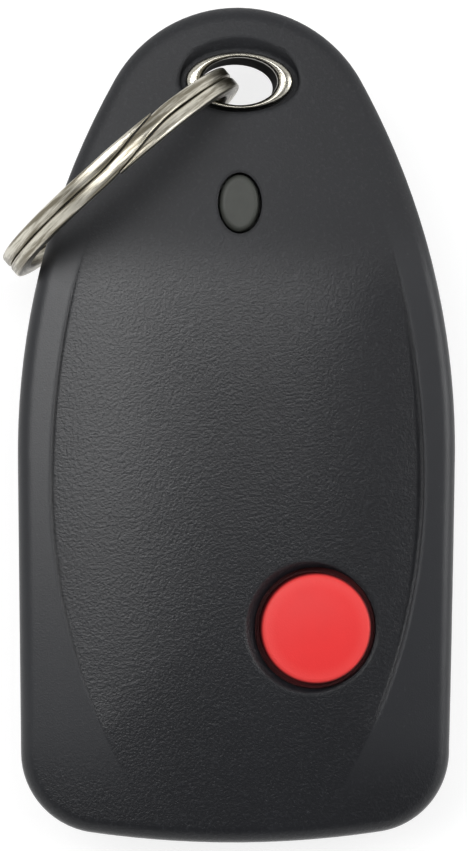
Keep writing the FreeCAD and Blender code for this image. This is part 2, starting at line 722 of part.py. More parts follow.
lens_hole = prism("lens_hole", lens_oval("lens_hole_oval", "lens_gap"), case_height)
panel_cut = cut("panel_cut", prism("panel_prism", panel_plan(), "2 * case_top"), panel_crown)
boss_crown = crown("boss_crown", "case_top - panel_drop - wall / 2", "panel_cross_radius",
                   "crown_long_radius")


def finish(name, solid):
    """Give a finished solid the name of its piece."""
    solid.Label = name
    return solid


def make_front_cover():
    """Cut the button face's form, hollow it and add the screw bosses."""
    half = overlap("front_half", [case_form, upper_half])
    shell = cut("front_shell", half, join("front_hollow", [core, rebate]))
    boss_row = join("front_boss_row", front_bosses + [button_collar])
    bosses = overlap("front_bosses", [boss_row, case_form, boss_crown])
    openings = [panel_cut, dish, bore, button_hole, hole_bevel, flange_pocket, lens_hole]
    whole = join("front_with_bosses", [shell, bosses])
    return finish("front_cover", cut("front_cover_solid", whole, join("front_holes", openings + pilots)))


def make_rear_cover():
    """Hollow the rear half, add the tongue and the screw bosses, and bore them."""
    shell = cut("rear_shell", overlap("rear_half", [case_form, lower_half]), core)
    bosses = overlap("rear_bosses", [join("rear_boss_row", rear_bosses), case_form])
    holes = join("rear_holes", [bore, rear_mouth] + shank_holes + head_holes)
    whole = join("rear_with_bosses", [shell, tongue, bosses])
    return finish("rear_cover", cut("rear_cover_solid", whole, holes))


front_cover = make_front_cover()
rear_cover = make_rear_cover()

# The lens and the lamp of the status light



def make_lens():
    """Stand an oval light pipe in its hole, with a flange that stops it from inside."""
    top_z = "case_top - (light_y - crown_y)^2 / (2 * crown_long_radius) - lens_sink"
    # The wall's inner face is lowest at the flange's end towards the eyelet
    flange_end = "light_y + lens_half_length + lens_flange - crown_y"
    foot_z = (f"case_top - panel_drop - wall - ({flange_end})^2 / (2 * crown_long_radius)"
              " - lens_gap - lens_flange")
    pipe = prism("lens_pipe", lens_oval("lens_pipe_oval", "0"), f"{top_z} - ({foot_z})", foot_z)
    flange = prism("lens_foot", lens_oval("lens_foot_oval", "lens_flange"), "lens_flange", foot_z)
    whole = join("lens_blank", [pipe, flange])
    top = value(top_z)
    return finish("led_lens", rounded("lens_solid", whole, "lens_edge", lambda e: middle(e).z > top - 0.01))


led_lens = make_lens()
status_led = turned_body(
    "status_led",
    [("0", "0"), ("led_radius + led_collar", "0"), ("led_radius + led_collar", "led_base"),
     ("led_radius", "led_base"), ("led_radius", "led_height - led_radius / 2", "dome"), ("0", "led_height")],
    "0", "light_y", board_top)

# The button and its switch

cap_under = "plunger_rise + button_play"
cap_top = f"({face_at_button}) + cap_rise - ({switch_top})"
button_cap = turned_body(
    "button_cap",
    [("0", cap_under), ("plunger_radius + cap_gap", cap_under), ("plunger_radius + cap_gap", flange_foot),
     ("flange_radius", flange_foot), ("flange_radius", flange_top), ("cap_radius", flange_top),
     ("cap_radius", f"{cap_top} - cap_dome", "dome"), ("0", cap_top)],
    "button_x", "button_y", switch_top)


def round_cap():
    """Round the edge where the button's dome meets its side."""
    doc.recompute()
    rim = value(f"{cap_top} - cap_dome")
    base = button_cap.Tip
    names = [f"Edge{i}" for i, edge in enumerate(base.Shape.Edges, start=1)
             if edge.BoundBox.ZLength < 1e-3 and abs(middle(edge).z - rim) < 1e-3]
    fillet = button_cap.newObject("PartDesign::Fillet", "cap_edge_round")
    fillet.Base = (base, names)
    bind(fillet, "Radius", "cap_edge")


round_cap()

switch_base = finish("switch_base", cut(
    "switch_base_solid",
    block("switch_block", "switch_size", "switch_size", "switch_height - switch_cover_sheet",
          "button_x", "button_y", board_top),
    cylinder("switch_well", "plunger_radius + switch_well", "switch_height", "button_x", "button_y",
             f"{board_top} + switch_floor")))
switch_cover = finish("switch_cover", cut(
    "switch_cover_solid",
    block("switch_plate", "switch_size", "switch_size", "switch_cover_sheet", "button_x", "button_y",
          f"{switch_top} - switch_cover_sheet"),
    cylinder("switch_mouth", "plunger_radius + plunger_gap", "switch_height",
             "button_x", "button_y", board_top)))
plunger_foot = "switch_floor + dome_height + dome_sheet + plunger_gap / 2"
plunger_neck = "switch_height - switch_cover_sheet - plunger_gap"
switch_plunger = turned_body(
    "switch_plunger",
    [("0", plunger_foot), ("plunger_radius + switch_well / 2", plunger_foot),
     ("plunger_radius + switch_well / 2", plunger_neck), ("plunger_radius", plunger_neck),
     ("plunger_radius", "switch_height + plunger_rise"), ("0", "switch_height + plunger_rise")],
    "button_x", "button_y", board_top)
dome_radius = "plunger_radius + switch_well / 2"
switch_dome = turned_body(
    "switch_dome",
    [(dome_radius, "switch_floor + dome_sheet", "dome"), ("0", "switch_floor + dome_height + dome_sheet"),
     ("0", "switch_floor + dome_height"), (f"{dome_radius} - 2 * dome_sheet", "switch_floor"),
     (dome_radius, "switch_floor")],
    "button_x", "button_y", board_top)


def lead_profile(name, reach, root, sheet):
    """Draw a bent lead from the side: out of the part, down and along the board."""
    sketch = free_sketch(name, ON_FRONT)
    bend = f"({reach}) / 2"
    return draw_profile(sketch, [
        ("0", root), (f"{bend} - {sheet}", root), (f"{bend} - {sheet}", "0"), (reach, "0"), (reach, sheet),
        (bend, sheet), (bend, f"{root} + {sheet}"), ("0", f"{root} + {sheet}")])


def gull_lead(name, profile, width, x, y, z, degrees):
    """Extrude one bent lead and turn it to its side of the part."""
    lead = prism(name, profile, width, direction=V(0, 1, 0), both_ways=True)
    lead.Placement.Rotation = FreeCAD.Rotation(V(0, 0, 1), degrees)
    return place(lead, x, y, z)


def group(name, solids):
    """Gather like solids in one piece."""
    whole = doc.addObject("Part::Compound", name + "_group")
    whole.Links = solids
    return finish(name, whole)


switch_lead = lead_profile("switch_lead", "lead_reach", "lead_root", "lead_sheet")
switch_leads = group("switch_leads", [
    gull_lead(f"switch_lead_{i}", switch_lead, "2 * lead_width", f"button_x + {side} * switch_size / 2",
              f"button_y + {row} * switch_size / 4", board_top, turn)
    for i, (side, row, turn) in enumerate([(1, 1, 0), (1, -1, 0), (-1, 1, 180), (-1, -1, 180)], start=1)])

# Board


def make_board():
    """Cut the board to the case's outline, straight at the eyelet end, and drill it."""
    outline_of_board = inset("board_outline", outline, "side_wall + board_gap")
    sheet = prism("board_sheet", outline_of_board, "board_thickness", "board_z")
    end = block("board_end", plate, plate, "board_thickness", y=f"board_end_y - {plate} / 2", z="board_z")
    drills = [cylinder(f"board_hole_{name}", "screw_radius + screw_gap", "board_thickness", x, y, "board_z")
              for name, x, y, seat in SCREWS]
    blank = overlap("board_blank", [sheet, end])
    return finish("circuit_board", cut("board_solid", blank, join("board_holes", drills)))


circuit_board = make_board()


def make_chip():
    """Make the encoder's moulded body."""
    body = padded_body("encoder_chip", rectangle("chip_length", "chip_width"), "chip_height - chip_stand_off",
                       "chip_x", "chip_y", f"{board_top} + chip_stand_off")
    doc.recompute()
    base = body.Tip
    names = [f"Edge{i}" for i, edge in enumerate(base.Shape.Edges, start=1)
             if edge.BoundBox.ZLength < 1e-3 and middle(edge).z > value("chip_stand_off")]
    chamfer = body.newObject("PartDesign::Chamfer", "chip_draft")
    chamfer.Base = (base, names)
    bind(chamfer, "Size", "chip_bevel")
    return body


encoder_chip = make_chip()
chip_lead = lead_profile("chip_lead", "lead_reach", "lead_root", "lead_sheet")
encoder_leads = group("encoder_leads", [
    gull_lead(f"encoder_lead_{row}_{i + 1}", chip_lead, "lead_width", f"chip_x + {i - 1.5} * lead_pitch",
              f"chip_y + {side} * chip_width / 2", board_top, 90 * side)
    for row, side in (("front", -1), ("back", 1)) for i in range(4)])
saw_resonator = turned_body(
    "saw_resonator",
    [("0", "0"), ("resonator_radius", "0"), ("resonator_radius", "can_flange"),
     ("resonator_radius - can_flange", "can_flange"), ("resonator_radius - can_flange", "resonator_height"),
     ("0", "resonator_height")],
    "resonator_x", "resonator_y", board_top)
trimmer_base = finish("trimmer_base", block(
    "trimmer_block", "2 * trimmer_radius", "2 * trimmer_radius", "trimmer_height / 2",
    "trimmer_x", "trimmer_y", board_top))
trimmer_rotor = finish("trimmer_rotor", cut(
    "trimmer_rotor_solid",
    cylinder("rotor_disc", "trimmer_radius - can_flange", "trimmer_height / 2",
             "trimmer_x", "trimmer_y", f"{board_top} + trimmer_height / 2"),
    block("rotor_slot", "4 * can_flange", "2 * can_flange", "trimmer_height",
          "trimmer_x", "trimmer_y", f"{board_top} + 3 * trimmer_height / 4")))
rf_transistor = padded_body("rf_transistor", rectangle("transistor_length", "transistor_width"),
                            "transistor_height", "transistor_x", "transistor_y", board_top)
supply_capacitor = padded_body("supply_capacitor", rectangle("capacitor_length", "capacitor_width"),
                               "capacitor_height", "capacitor_x", "capacitor_y", board_top)
tail_row = "component_tail_gap - tail_length"
COMPONENTS = [(f"{step} * component_pitch", y) for step, y in [
    (-1.5, "component_row_y"), (-0.5, "component_row_y"), (0.5, "component_row_y"), (1.5, "component_row_y"),
    (-1, "component_row_y + component_pitch"), (1, "component_row_y + component_pitch"),
    (-0.5, tail_row), (0.5, tail_row)]]
chip_components = group("chip_components", [
    block(f"component_{i}", "component_width", "component_length", "component_height", x, y, board_top)
    for i, (x, y) in enumerate(COMPONENTS, start=1)])

# Coin cell, holder and contacts

cell_z = "board_z - cell_drop - cell_height"
battery_cell = turned_body(
    "battery_cell",
    [("0", "0"), ("cell_radius", "0"), ("cell_radius", "cell_height - 2 * cell_lip"),
     ("cell_radius - cell_lip", "cell_height - cell_lip"),
     ("cell_radius - 2 * cell_lip", "cell_height - cell_lip"),
     ("cell_radius - 3 * cell_lip", "cell_height"), ("0", "cell_height")],
    "0", "cell_y", cell_z)


def make_holder():
    """Make the holder's ring, open on one side for the contact."""
    ring = cut("holder_ring",
               cylinder("holder_outside", "cell_radius + holder_gap + holder_wall", "holder_depth",
                        "0", "cell_y", "board_z - holder_depth"),
               cylinder("holder_inside", "cell_radius + holder_gap", "holder_depth",
                        "0", "cell_y", "board_z - holder_depth"))
    gate = block("holder_gate", "2 * cell_radius", "contact_width + 4 * contact_sheet",
                 "holder_depth", "cell_radius", "cell_y", "board_z - holder_depth")
    return finish("battery_holder", cut("holder_solid", ring, gate))


battery_holder = make_holder()


def strip(name, points):
    """Extrude the bent profile of a contact, seen from the tail, across its width."""
    solid = prism(name, draw_profile(free_sketch(name + "_profile", ON_FRONT), points), "contact_width",
                  direction=V(0, 1, 0), both_ways=True)
    return place(solid, "0", "cell_y", "0")


riser = "cell_radius + holder_gap + holder_wall"
tip = "cell_radius - contact_width / 2"
battery_clip_positive = finish("battery_clip_positive", strip("positive_strip", [
    (tip, f"{cell_z} - contact_sheet"), (f"{riser} + contact_sheet", f"{cell_z} - contact_sheet"),
    (f"{riser} + contact_sheet", "board_z - contact_sheet"),
    (f"{riser} + contact_width / 2", "board_z - contact_sheet"), (f"{riser} + contact_width / 2", "board_z"),
    (riser, "board_z"), (riser, cell_z), (tip, cell_z)]))
leaf_z = "board_z - cell_drop"
battery_contact_negative = finish("battery_contact_negative", strip("negative_strip", [
    ("-contact_width", "board_z - contact_sheet"), ("-contact_width / 3", "board_z - contact_sheet"),
    ("contact_width / 2", leaf_z), ("contact_width", leaf_z), ("contact_width", f"{leaf_z} + contact_sheet"),
    ("contact_width / 2", f"{leaf_z} + contact_sheet"), ("-contact_width / 3", "board_z"),
    ("-contact_width", "board_z")]))

# Screws


def make_screw(name, x, y, seat):
    """Make a screw that points up from its seat, with a low head and a cross recess."""
    blank = turned_body(f"screw_blank_{name}", [
        ("0", "-screw_head_height"), ("screw_head_radius - screw_edge", "-screw_head_height"),
        ("screw_head_radius", "screw_edge - screw_head_height"), ("screw_head_radius", "0"),
        ("screw_radius", "0"), ("screw_radius", "screw_length - screw_radius"),
        ("screw_edge", "screw_length"), ("0", "screw_length")],
        x, y, seat)
    under = f"{seat} - screw_head_height"
    recess = join(f"recess_{name}", [
        block(f"recess_across_{name}", "recess_length", "recess_width", "recess_depth", x, y, under),
        block(f"recess_along_{name}", "recess_width", "recess_length", "recess_depth", x, y, under)])
    return cut(f"screw_{name}", blank, recess)


case_screws = group("case_screws", [make_screw(*screw) for screw in SCREWS])

# Eyelet liner


def make_liner():
    """Make the oval liner: a tube through the case with a rounded rim in the dish."""
    rim_top = "dish_floor_z + rim_height"
    tube = prism("liner_tube", eyelet_oval("liner_tube_oval", "0"), f"{rim_top} - tube_foot_z",
                 "tube_foot_z")
    rim = prism("liner_rim", oval("liner_rim_oval", "rim_half_length", "rim_half_width", y="eyelet_y"),
                "rim_height", "dish_floor_z")
    hole = prism("liner_hole", eyelet_oval("liner_hole_oval", "-tube_wall"), case_height)
    blank = cut("liner_blank", join("liner_outside", [tube, rim]), hole)
    top = value(rim_top)
    solid = rounded("liner_solid", blank, "rim_round", lambda e: middle(e).z > top - 0.01)
    return finish("eyelet_liner", solid)


eyelet_liner = make_liner()

# Split ring


def wire_section(turn, heart, radius, half_wire, half_turn, bevel):
    """Give the wire's bevelled section in the ring's own frame, at one place round the ring."""
    corners = [(1, 1, 0, 1), (1, 1, 1, 0), (1, -1, 1, 0), (1, -1, 0, 1),
               (-1, -1, 0, 1), (-1, -1, 1, 0), (-1, 1, 1, 0), (-1, 1, 0, 1)]
    points = []
    for out, up, on_flat, on_side in corners:
        along = out * (half_wire - bevel * on_side)
        aside = up * (half_turn - bevel * on_flat)
        reach = radius + along
        points.append(V(reach * math.cos(turn), reach * math.sin(turn), heart + aside))
    return Part.makePolygon(points + points[:1])


def make_split_ring():
    """Bend the wire of the split ring: two turns, and a jog between them beside both ends."""
    wire, thick, bevel = value("ring_wire"), value("ring_turn"), value("ring_bevel")
    pitch = thick + value("ring_slit")
    lean, heading = math.radians(value("ring_lean")), math.radians(value("ring_heading"))
    radius = value("ring_radius") - wire / 2
    centre, reach, lap = value("ring_ends"), value("ring_jog / 2"), value("ring_lap")

    def section(degrees, heart):
        return wire_section(math.radians(degrees), heart, radius, wire / 2, thick / 2, bevel)

    def turn(heart):
        face = Part.Face(section(centre + reach, heart))
        return face.revolve(V(0, 0, 0), V(0, 0, 1), 360 - 2 * reach)

    def strand(begin, end, lift):
        """Loft a strand beside the jog, which rises by one pitch over its whole stretch."""
        steps = 9
        sections = []
        for i in range(steps):
            spot = begin + (end - begin) * i / (steps - 1)
            heart = pitch / 2 * math.sin(math.pi / 2 * spot / reach) + lift
            sections.append(section(centre + spot, heart))
        return Part.makeLoft(sections, True, True)

    jog = strand(-reach, reach, 0)
    ends = [strand(-lap, reach, -pitch), strand(-reach, lap, pitch)]
    solid = turn(-pitch / 2).fuse([jog, turn(pitch / 2)] + ends).removeSplitter().Solids[0]
    # Stand it up in the eyelet, leaning a little
    way = V(math.cos(heading), math.sin(heading), 0)
    aside = V(math.sin(heading), -math.cos(heading), 0)
    upright = V(0, 0, 1) * math.cos(lean) + aside * math.sin(lean)
    frame = FreeCAD.Rotation(way * -1, upright, V(0, 0, 0), "XYZ")
    ring = doc.addObject("Part::Feature", "split_ring")
    ring.Shape = solid
    middle_of_ring = V(value("ring_x"), value("eyelet_y"), value("ring_z")) + way * radius
    ring.Placement = FreeCAD.Placement(middle_of_ring, frame)
    return ring


split_ring = make_split_ring()

PIECES = [
    front_cover, rear_cover, button_cap, led_lens, status_led, eyelet_liner, split_ring, circuit_board,
    switch_base, switch_cover, switch_plunger, switch_dome, switch_leads, encoder_chip, encoder_leads,
    saw_resonator, trimmer_base, trimmer_rotor, rf_transistor, supply_capacitor, chip_components,
    battery_cell, battery_holder, battery_clip_positive, battery_contact_negative, case_screws,
]


def check_model():
    """Stop if any object failed or any piece is not a sound solid."""
    doc.recompute()
    failed = [thing.Name for thing in doc.Objects if {"Invalid", "Error"} & set(thing.State)]
    for piece in PIECES:
        if piece.Shape.isNull() or not piece.Shape.isValid() or not piece.Shape.Solids:
            failed.append(piece.Label)
    if failed:
        raise RuntimeError("these objects failed: " + ", ".join(failed))


def write_pieces():
    """Write each piece to its own file and print what it holds."""
    os.makedirs("parts", exist_ok=True)
    for piece in PIECES:
        piece.Shape.exportStep(f"parts/{piece.Label}.step")
        print(f"{piece.Label:26} {len(piece.Shape.Solids)} solid(s) {piece.Shape.Volume:9.2f} mm3")


check_model()
write_pieces()
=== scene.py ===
# %% [markdown]
# # A key fob transmitter
# The real thing is a remote for an alarm or a gate: a dark case in two halves, a red button, a smoky
# light and a nickel eyelet that a split ring hangs in. Its solids come from CAD and are the fixed
# frame here, in metres, with +Z out of the button face and +Y towards the eyelet. This lesson gives
# them their finishes, adds the small things that CAD leaves out, and lights and frames the picture.

# %% Load the frame
import math

import bmesh
import bpy
from mathutils import Matrix, Vector


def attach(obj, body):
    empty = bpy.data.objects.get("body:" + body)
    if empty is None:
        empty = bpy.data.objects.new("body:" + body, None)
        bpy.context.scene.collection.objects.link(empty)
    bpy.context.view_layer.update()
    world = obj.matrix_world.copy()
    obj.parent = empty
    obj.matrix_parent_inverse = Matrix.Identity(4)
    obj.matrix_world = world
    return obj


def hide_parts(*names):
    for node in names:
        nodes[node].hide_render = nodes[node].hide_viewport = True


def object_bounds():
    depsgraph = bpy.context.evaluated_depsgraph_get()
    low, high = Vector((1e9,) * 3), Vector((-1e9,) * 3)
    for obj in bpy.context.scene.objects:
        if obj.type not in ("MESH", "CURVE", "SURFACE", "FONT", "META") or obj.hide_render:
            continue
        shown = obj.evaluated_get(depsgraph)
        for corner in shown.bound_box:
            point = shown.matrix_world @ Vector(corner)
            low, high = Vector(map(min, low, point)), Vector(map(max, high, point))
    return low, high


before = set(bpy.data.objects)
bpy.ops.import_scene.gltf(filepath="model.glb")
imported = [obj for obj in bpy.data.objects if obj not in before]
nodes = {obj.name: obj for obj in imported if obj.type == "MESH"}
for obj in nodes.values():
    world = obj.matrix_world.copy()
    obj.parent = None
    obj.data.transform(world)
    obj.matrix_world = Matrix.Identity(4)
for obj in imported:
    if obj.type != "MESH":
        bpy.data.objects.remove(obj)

cad_box = [list(corner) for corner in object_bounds()]
MM = 0.001
print("CAD nodes:", len(nodes), "box:", cad_box)

# %% [markdown]
# ## Small helpers for shader trees
# Every finish below is a tree of nodes. Wiring them one by one takes many lines, so two helpers do it:
# one adds a node and fills its sockets with numbers or links, the other does a step of arithmetic.
# They keep the cells short enough to read as a recipe.

# %% Helpers that add nodes


def fill_socket(tree, socket, source):
    """Link a socket to another node's output, or set its number."""
    if isinstance(source, bpy.types.NodeSocket):
        tree.links.new(source, socket)
    else:
        socket.default_value = source


def add(tree, kind, sockets=None, **options):
    """Add a shader node with its options and its sockets filled."""
    made = tree.nodes.new("ShaderNode" + kind)
    for key, option in options.items():
        setattr(made, key, option)
    for key, source in (sockets or {}).items():
        fill_socket(tree, made.inputs[key], source)
    return made


def maths(tree, operation, *sources, clamp=False):
    """Do one step of arithmetic and give its output."""
    step = add(tree, "Math", operation=operation, use_clamp=clamp)
    for socket, source in zip(step.inputs, sources):
        fill_socket(tree, socket, source)
    return step.outputs[0]


def scaled(tree, vector, factor):
    """Multiply a vector by a number."""
    step = add(tree, "VectorMath", {0: vector}, operation="SCALE")
    fill_socket(tree, step.inputs["Scale"], factor)
    return step.outputs[0]


def between(tree, source, low, high, start=0.0, end=1.0):
    """Map low..high smoothly to start..end."""
    step = add(tree, "MapRange", {"Value": source, "To Min": start, "To Max": end},
               interpolation_type="SMOOTHSTEP")
    fill_socket(tree, step.inputs["From Min"], low)
    fill_socket(tree, step.inputs["From Max"], high)
    return step.outputs["Result"]


def blend_colours(tree, share, first, second):
    """Mix two colours by a mask."""
    step = add(tree, "Mix", data_type="RGBA")
    fill_socket(tree, step.inputs["Factor"], share)
    fill_socket(tree, step.inputs[6], first)
    fill_socket(tree, step.inputs[7], second)
    return step.outputs[2]


def place_in_mm(tree):
    """Give the place on the object in millimetres of the CAD frame."""
    return scaled(tree, add(tree, "TexCoord").outputs["Object"], 1 / MM)


print("helpers ready")

# %% [markdown]
# ## Shared effects as node groups
# Moulded grain, slow changes of tone, worn edges, dust and drawn streaks turn up on many parts. Each
# could be copied into every material, but a node group is built once and placed with its own numbers,
# so a change to the effect reaches every part. A group here gives only masks, heights and colours.
# The shader itself stays in the material.

# %% A frame for node groups


def start_group(name, inputs, outputs):
    """Make an empty node group with named sockets."""
    group = bpy.data.node_groups.new(name, "ShaderNodeTree")
    for label, kind, default in inputs:
        socket = group.interface.new_socket(label, in_out="INPUT", socket_type=kind)
        socket.default_value = default
    for label, kind in outputs:
        group.interface.new_socket(label, in_out="OUTPUT", socket_type=kind)
    return group, group.nodes.new("NodeGroupInput"), group.nodes.new("NodeGroupOutput")


def use_group(tree, group, **values):
    """Place a group in a material. Underscores in a name stand for spaces."""
    made = tree.nodes.new("ShaderNodeGroup")
    made.node_tree = group
    for key, source in values.items():
        fill_socket(tree, made.inputs[key.replace("_", " ")], source)
    return made.outputs


FLOAT, COLOUR, VECTOR = "NodeSocketFloat", "NodeSocketColor", "NodeSocketVector"
print("group helpers ready")

# %% [markdown]
# ### Spark-eroded grain
# The mould of the case was eroded by sparks, which leaves a fine, rounded, sandy grain about a tenth
# of a millimetre across. One noise alone looks like fog. Here a rounded cell pattern gives the pits
# and a noise of half the size breaks them up. The crests catch light, so the group also gives a mask
# of them.

# %% Group: moulded grain
grain_group, grain_in, grain_out = start_group(
    "moulded grain", [("Grain size", FLOAT, 0.14)], [("Height", FLOAT), ("Crests", FLOAT)])
grain_place = scaled(grain_group, place_in_mm(grain_group),
                     maths(grain_group, "DIVIDE", 1.0, grain_in.outputs["Grain size"]))
grain_cells = add(grain_group, "TexVoronoi", {"Vector": grain_place, "Scale": 0.8},
                  feature="SMOOTH_F1").outputs["Distance"]
grain_noise = add(grain_group, "TexNoise", {"Vector": grain_place, "Scale": 1.6, "Detail": 2.0}).outputs["Fac"]
grain_height = maths(grain_group, "ADD", maths(grain_group, "MULTIPLY", grain_cells, 0.6),
                     maths(grain_group, "MULTIPLY", grain_noise, 0.7))
grain_group.links.new(grain_height, grain_out.inputs["Height"])
grain_group.links.new(between(grain_group, grain_height, 0.6, 0.95), grain_out.inputs["Crests"])
print("group:", grain_group.name)

# %% [markdown]
# ### Uneven tone
# No moulded or plated surface has one colour all over: it drifts slowly with flow, polish and
# handling. The group lightens and darkens a colour by a slow noise, a few millimetres across.

# %% Group: uneven tone
tone_group, tone_in, tone_out = start_group(
    "uneven tone", [("Color", COLOUR, (0.5, 0.5, 0.5, 1)), ("Patch size", FLOAT, 6.0), ("Amount", FLOAT, 0.1)],
    [("Color", COLOUR), ("Patches", FLOAT)])
tone_place = scaled(tone_group, place_in_mm(tone_group),
                    maths(tone_group, "DIVIDE", 1.0, tone_in.outputs["Patch size"]))
tone_noise = add(tone_group, "TexNoise", {"Vector": tone_place, "Scale": 1.0, "Detail": 3.0}).outputs["Fac"]
tone_swing = maths(tone_group, "MULTIPLY", maths(tone_group, "SUBTRACT", tone_noise, 0.5), 2.0)
tone_value = maths(tone_group, "ADD", 1.0, maths(tone_group, "MULTIPLY", tone_swing, tone_in.outputs["Amount"]))
tone_colour = add(tone_group, "VectorMath", {0: tone_in.outputs["Color"]}, operation="SCALE")
tone_group.links.new(tone_value, tone_colour.inputs["Scale"])
tone_group.links.new(tone_colour.outputs[0], tone_out.inputs["Color"])
tone_group.links.new(tone_noise, tone_out.inputs["Patches"])
print("group:", tone_group.name)

# %% [markdown]
# ### Worn edges
# A pocket rubs edges first. The Bevel node gives the normal that a rounded edge would have, and where
# that differs from the true normal there is an edge. A noise breaks the line up, because wear is
# never even. It needs no extra geometry, so it suits solids that must not be changed.

# %% Group: worn edges
wear_group, wear_in, wear_out = start_group(
    "worn edges", [("Width", FLOAT, 0.25), ("Amount", FLOAT, 0.5)], [("Mask", FLOAT)])
wear_round = add(wear_group, "Bevel", {"Radius": maths(wear_group, "MULTIPLY", wear_in.outputs["Width"], MM)},
                 samples=4).outputs["Normal"]
wear_true = add(wear_group, "NewGeometry").outputs["Normal"]
wear_dot = add(wear_group, "VectorMath", {0: wear_round, 1: wear_true},
               operation="DOT_PRODUCT").outputs["Value"]
wear_edge = between(wear_group, maths(wear_group, "SUBTRACT", 1.0, wear_dot), 0.01, 0.2)
wear_noise = add(wear_group, "TexNoise", {"Vector": place_in_mm(wear_group), "Scale": 1.7, "Detail": 4.0})
wear_broken = between(wear_group, wear_noise.outputs["Fac"], 0.35, 0.65)
wear_mask = maths(wear_group, "MULTIPLY", maths(wear_group, "MULTIPLY", wear_edge, wear_broken),
                  wear_in.outputs["Amount"], clamp=True)
wear_group.links.new(wear_mask, wear_out.inputs["Mask"])
print("group:", wear_group.name)

# %% [markdown]
# ### Dust
# A little dust lies on whatever faces up. Small sparse specks come from a noise cut off high, and the
# upward part of the normal keeps them off the sides.

# %% Group: dust
dust_group, dust_in, dust_out = start_group("dust", [("Amount", FLOAT, 0.3)], [("Mask", FLOAT)])
dust_noise = add(dust_group, "TexNoise", {"Vector": place_in_mm(dust_group), "Scale": 3.1, "Detail": 3.0})
dust_specks = between(dust_group, dust_noise.outputs["Fac"], 0.68, 0.8)
dust_up = between(dust_group, add(dust_group, "SeparateXYZ", {
    0: add(dust_group, "NewGeometry").outputs["Normal"]}).outputs["Z"], 0.3, 0.9)
dust_mask = maths(dust_group, "MULTIPLY", maths(dust_group, "MULTIPLY", dust_specks, dust_up),
                  dust_in.outputs["Amount"], clamp=True)
dust_group.links.new(dust_mask, dust_out.inputs["Mask"])
print("group:", dust_group.name)

# %% [markdown]
# ### Drawn streaks
# Wire that was pulled through a die, sheet that was rolled and metal that was turned all carry fine
# lines along the way they were worked. The group takes a place whose first number runs along the
# lines and stretches a noise that way, so one group serves straight, round and turned parts.

# %% Group: drawn streaks
streak_group, streak_in, streak_out = start_group(
    "drawn streaks", [("Place", VECTOR, (0, 0, 0)), ("Stretch", FLOAT, 12.0), ("Fineness", FLOAT, 8.0)],
    [("Height", FLOAT), ("Lines", FLOAT)])
streak_parts = add(streak_group, "SeparateXYZ", {0: streak_in.outputs["Place"]})
streak_along = maths(streak_group, "DIVIDE", streak_parts.outputs["X"], streak_in.outputs["Stretch"])
streak_place = add(streak_group, "CombineXYZ", {
    "X": streak_along, "Y": streak_parts.outputs["Y"], "Z": streak_parts.outputs["Z"]}).outputs[0]
streak_noise = add(streak_group, "TexNoise", {"Vector": streak_place, "Detail": 5.0, "Roughness": 0.6})
streak_group.links.new(streak_in.outputs["Fineness"], streak_noise.inputs["Scale"])
streak_group.links.new(streak_noise.outputs["Fac"], streak_out.inputs["Height"])
streak_group.links.new(between(streak_group, streak_noise.outputs["Fac"], 0.4, 0.62),
                       streak_out.inputs["Lines"])
print("group:", streak_group.name)

# %% [markdown]
# ## Starting a material
# Each finish begins the same way: a Principled shader, whose plain numbers are set on its own
# sockets, and one Bump node where the surface has relief. Two more helpers keep that in one place,
# and a third hands a finish to the CAD solids that wear it.

# %% Helpers that start and assign materials


def start_material(name, **shader):
    """Make a material with a Principled shader. Underscores in a name stand for spaces."""
    material = bpy.data.materials.new(name)
    material.use_nodes = True
    principled = material.node_tree.nodes["Principled BSDF"]
    for key, number in shader.items():
        principled.inputs[key.replace("_", " ")].default_value = number
    return material, material.node_tree, principled


def bump(tree, principled, height, distance_mm, strength=1.0, soft_edges_mm=0.0):
    """Give the surface relief, and round its sharp edges where a width is given."""
    relief = add(tree, "Bump", {"Height": height, "Distance": distance_mm * MM, "Strength": strength})
    if soft_edges_mm:
        rounded = add(tree, "Bevel", {"Radius": soft_edges_mm * MM}, samples=4)
        tree.links.new(rounded.outputs["Normal"], relief.inputs["Normal"])
    tree.links.new(relief.outputs["Normal"], principled.inputs["Normal"])


def wear_finish(material, *names):
    """Put a finish on CAD nodes."""
    for name in names:
        for slot in nodes[name].material_slots:
            slot.material = material
    print(material.name, "->", ", ".join(names))


# %% [markdown]
# ## The case
# The front cover has two textures. A bowed panel in the middle carries the sandy spark grain, and the
# flanks beside it are finer and satin, so they look lighter. The panel's edge is two bowed arcs on
# each side. They could be cut into the mesh, but the solid stays as it is, so the shader works out the
# distance to those arcs from the place on the object and turns it into a mask.

# %% Distance to the panel's edge
PANEL_HALF_WIDTH, PANEL_MIDDLE_Y = 14.5, -2.5
PANEL_UPPER_RADIUS, PANEL_LOWER_RADIUS = 66.0, 47.0


def distance_inside_arc(tree, x, y, radius):
    """Give how far inside an arc that bows outwards a place is, in millimetres."""
    from_centre = maths(tree, "ADD", x, radius - PANEL_HALF_WIDTH)
    across = maths(tree, "SQRT", maths(tree, "ADD", maths(tree, "POWER", from_centre, 2.0),
                                       maths(tree, "POWER", y, 2.0)))
    return maths(tree, "SUBTRACT", radius, across)


def panel_distance(tree, place):
    """Give how far inside the panel a place is, in millimetres."""
    x = maths(tree, "ABSOLUTE", place.outputs["X"])
    y = maths(tree, "SUBTRACT", place.outputs["Y"], PANEL_MIDDLE_Y)
    upper = distance_inside_arc(tree, x, y, PANEL_UPPER_RADIUS)
    lower = distance_inside_arc(tree, x, y, PANEL_LOWER_RADIUS)
    is_upper = maths(tree, "GREATER_THAN", y, 0.0)
    return maths(tree, "ADD", maths(tree, "MULTIPLY", upper, is_upper),
                 maths(tree, "MULTIPLY", lower, maths(tree, "SUBTRACT", 1.0, is_upper)))


print("panel half width:", PANEL_HALF_WIDTH, "mm")

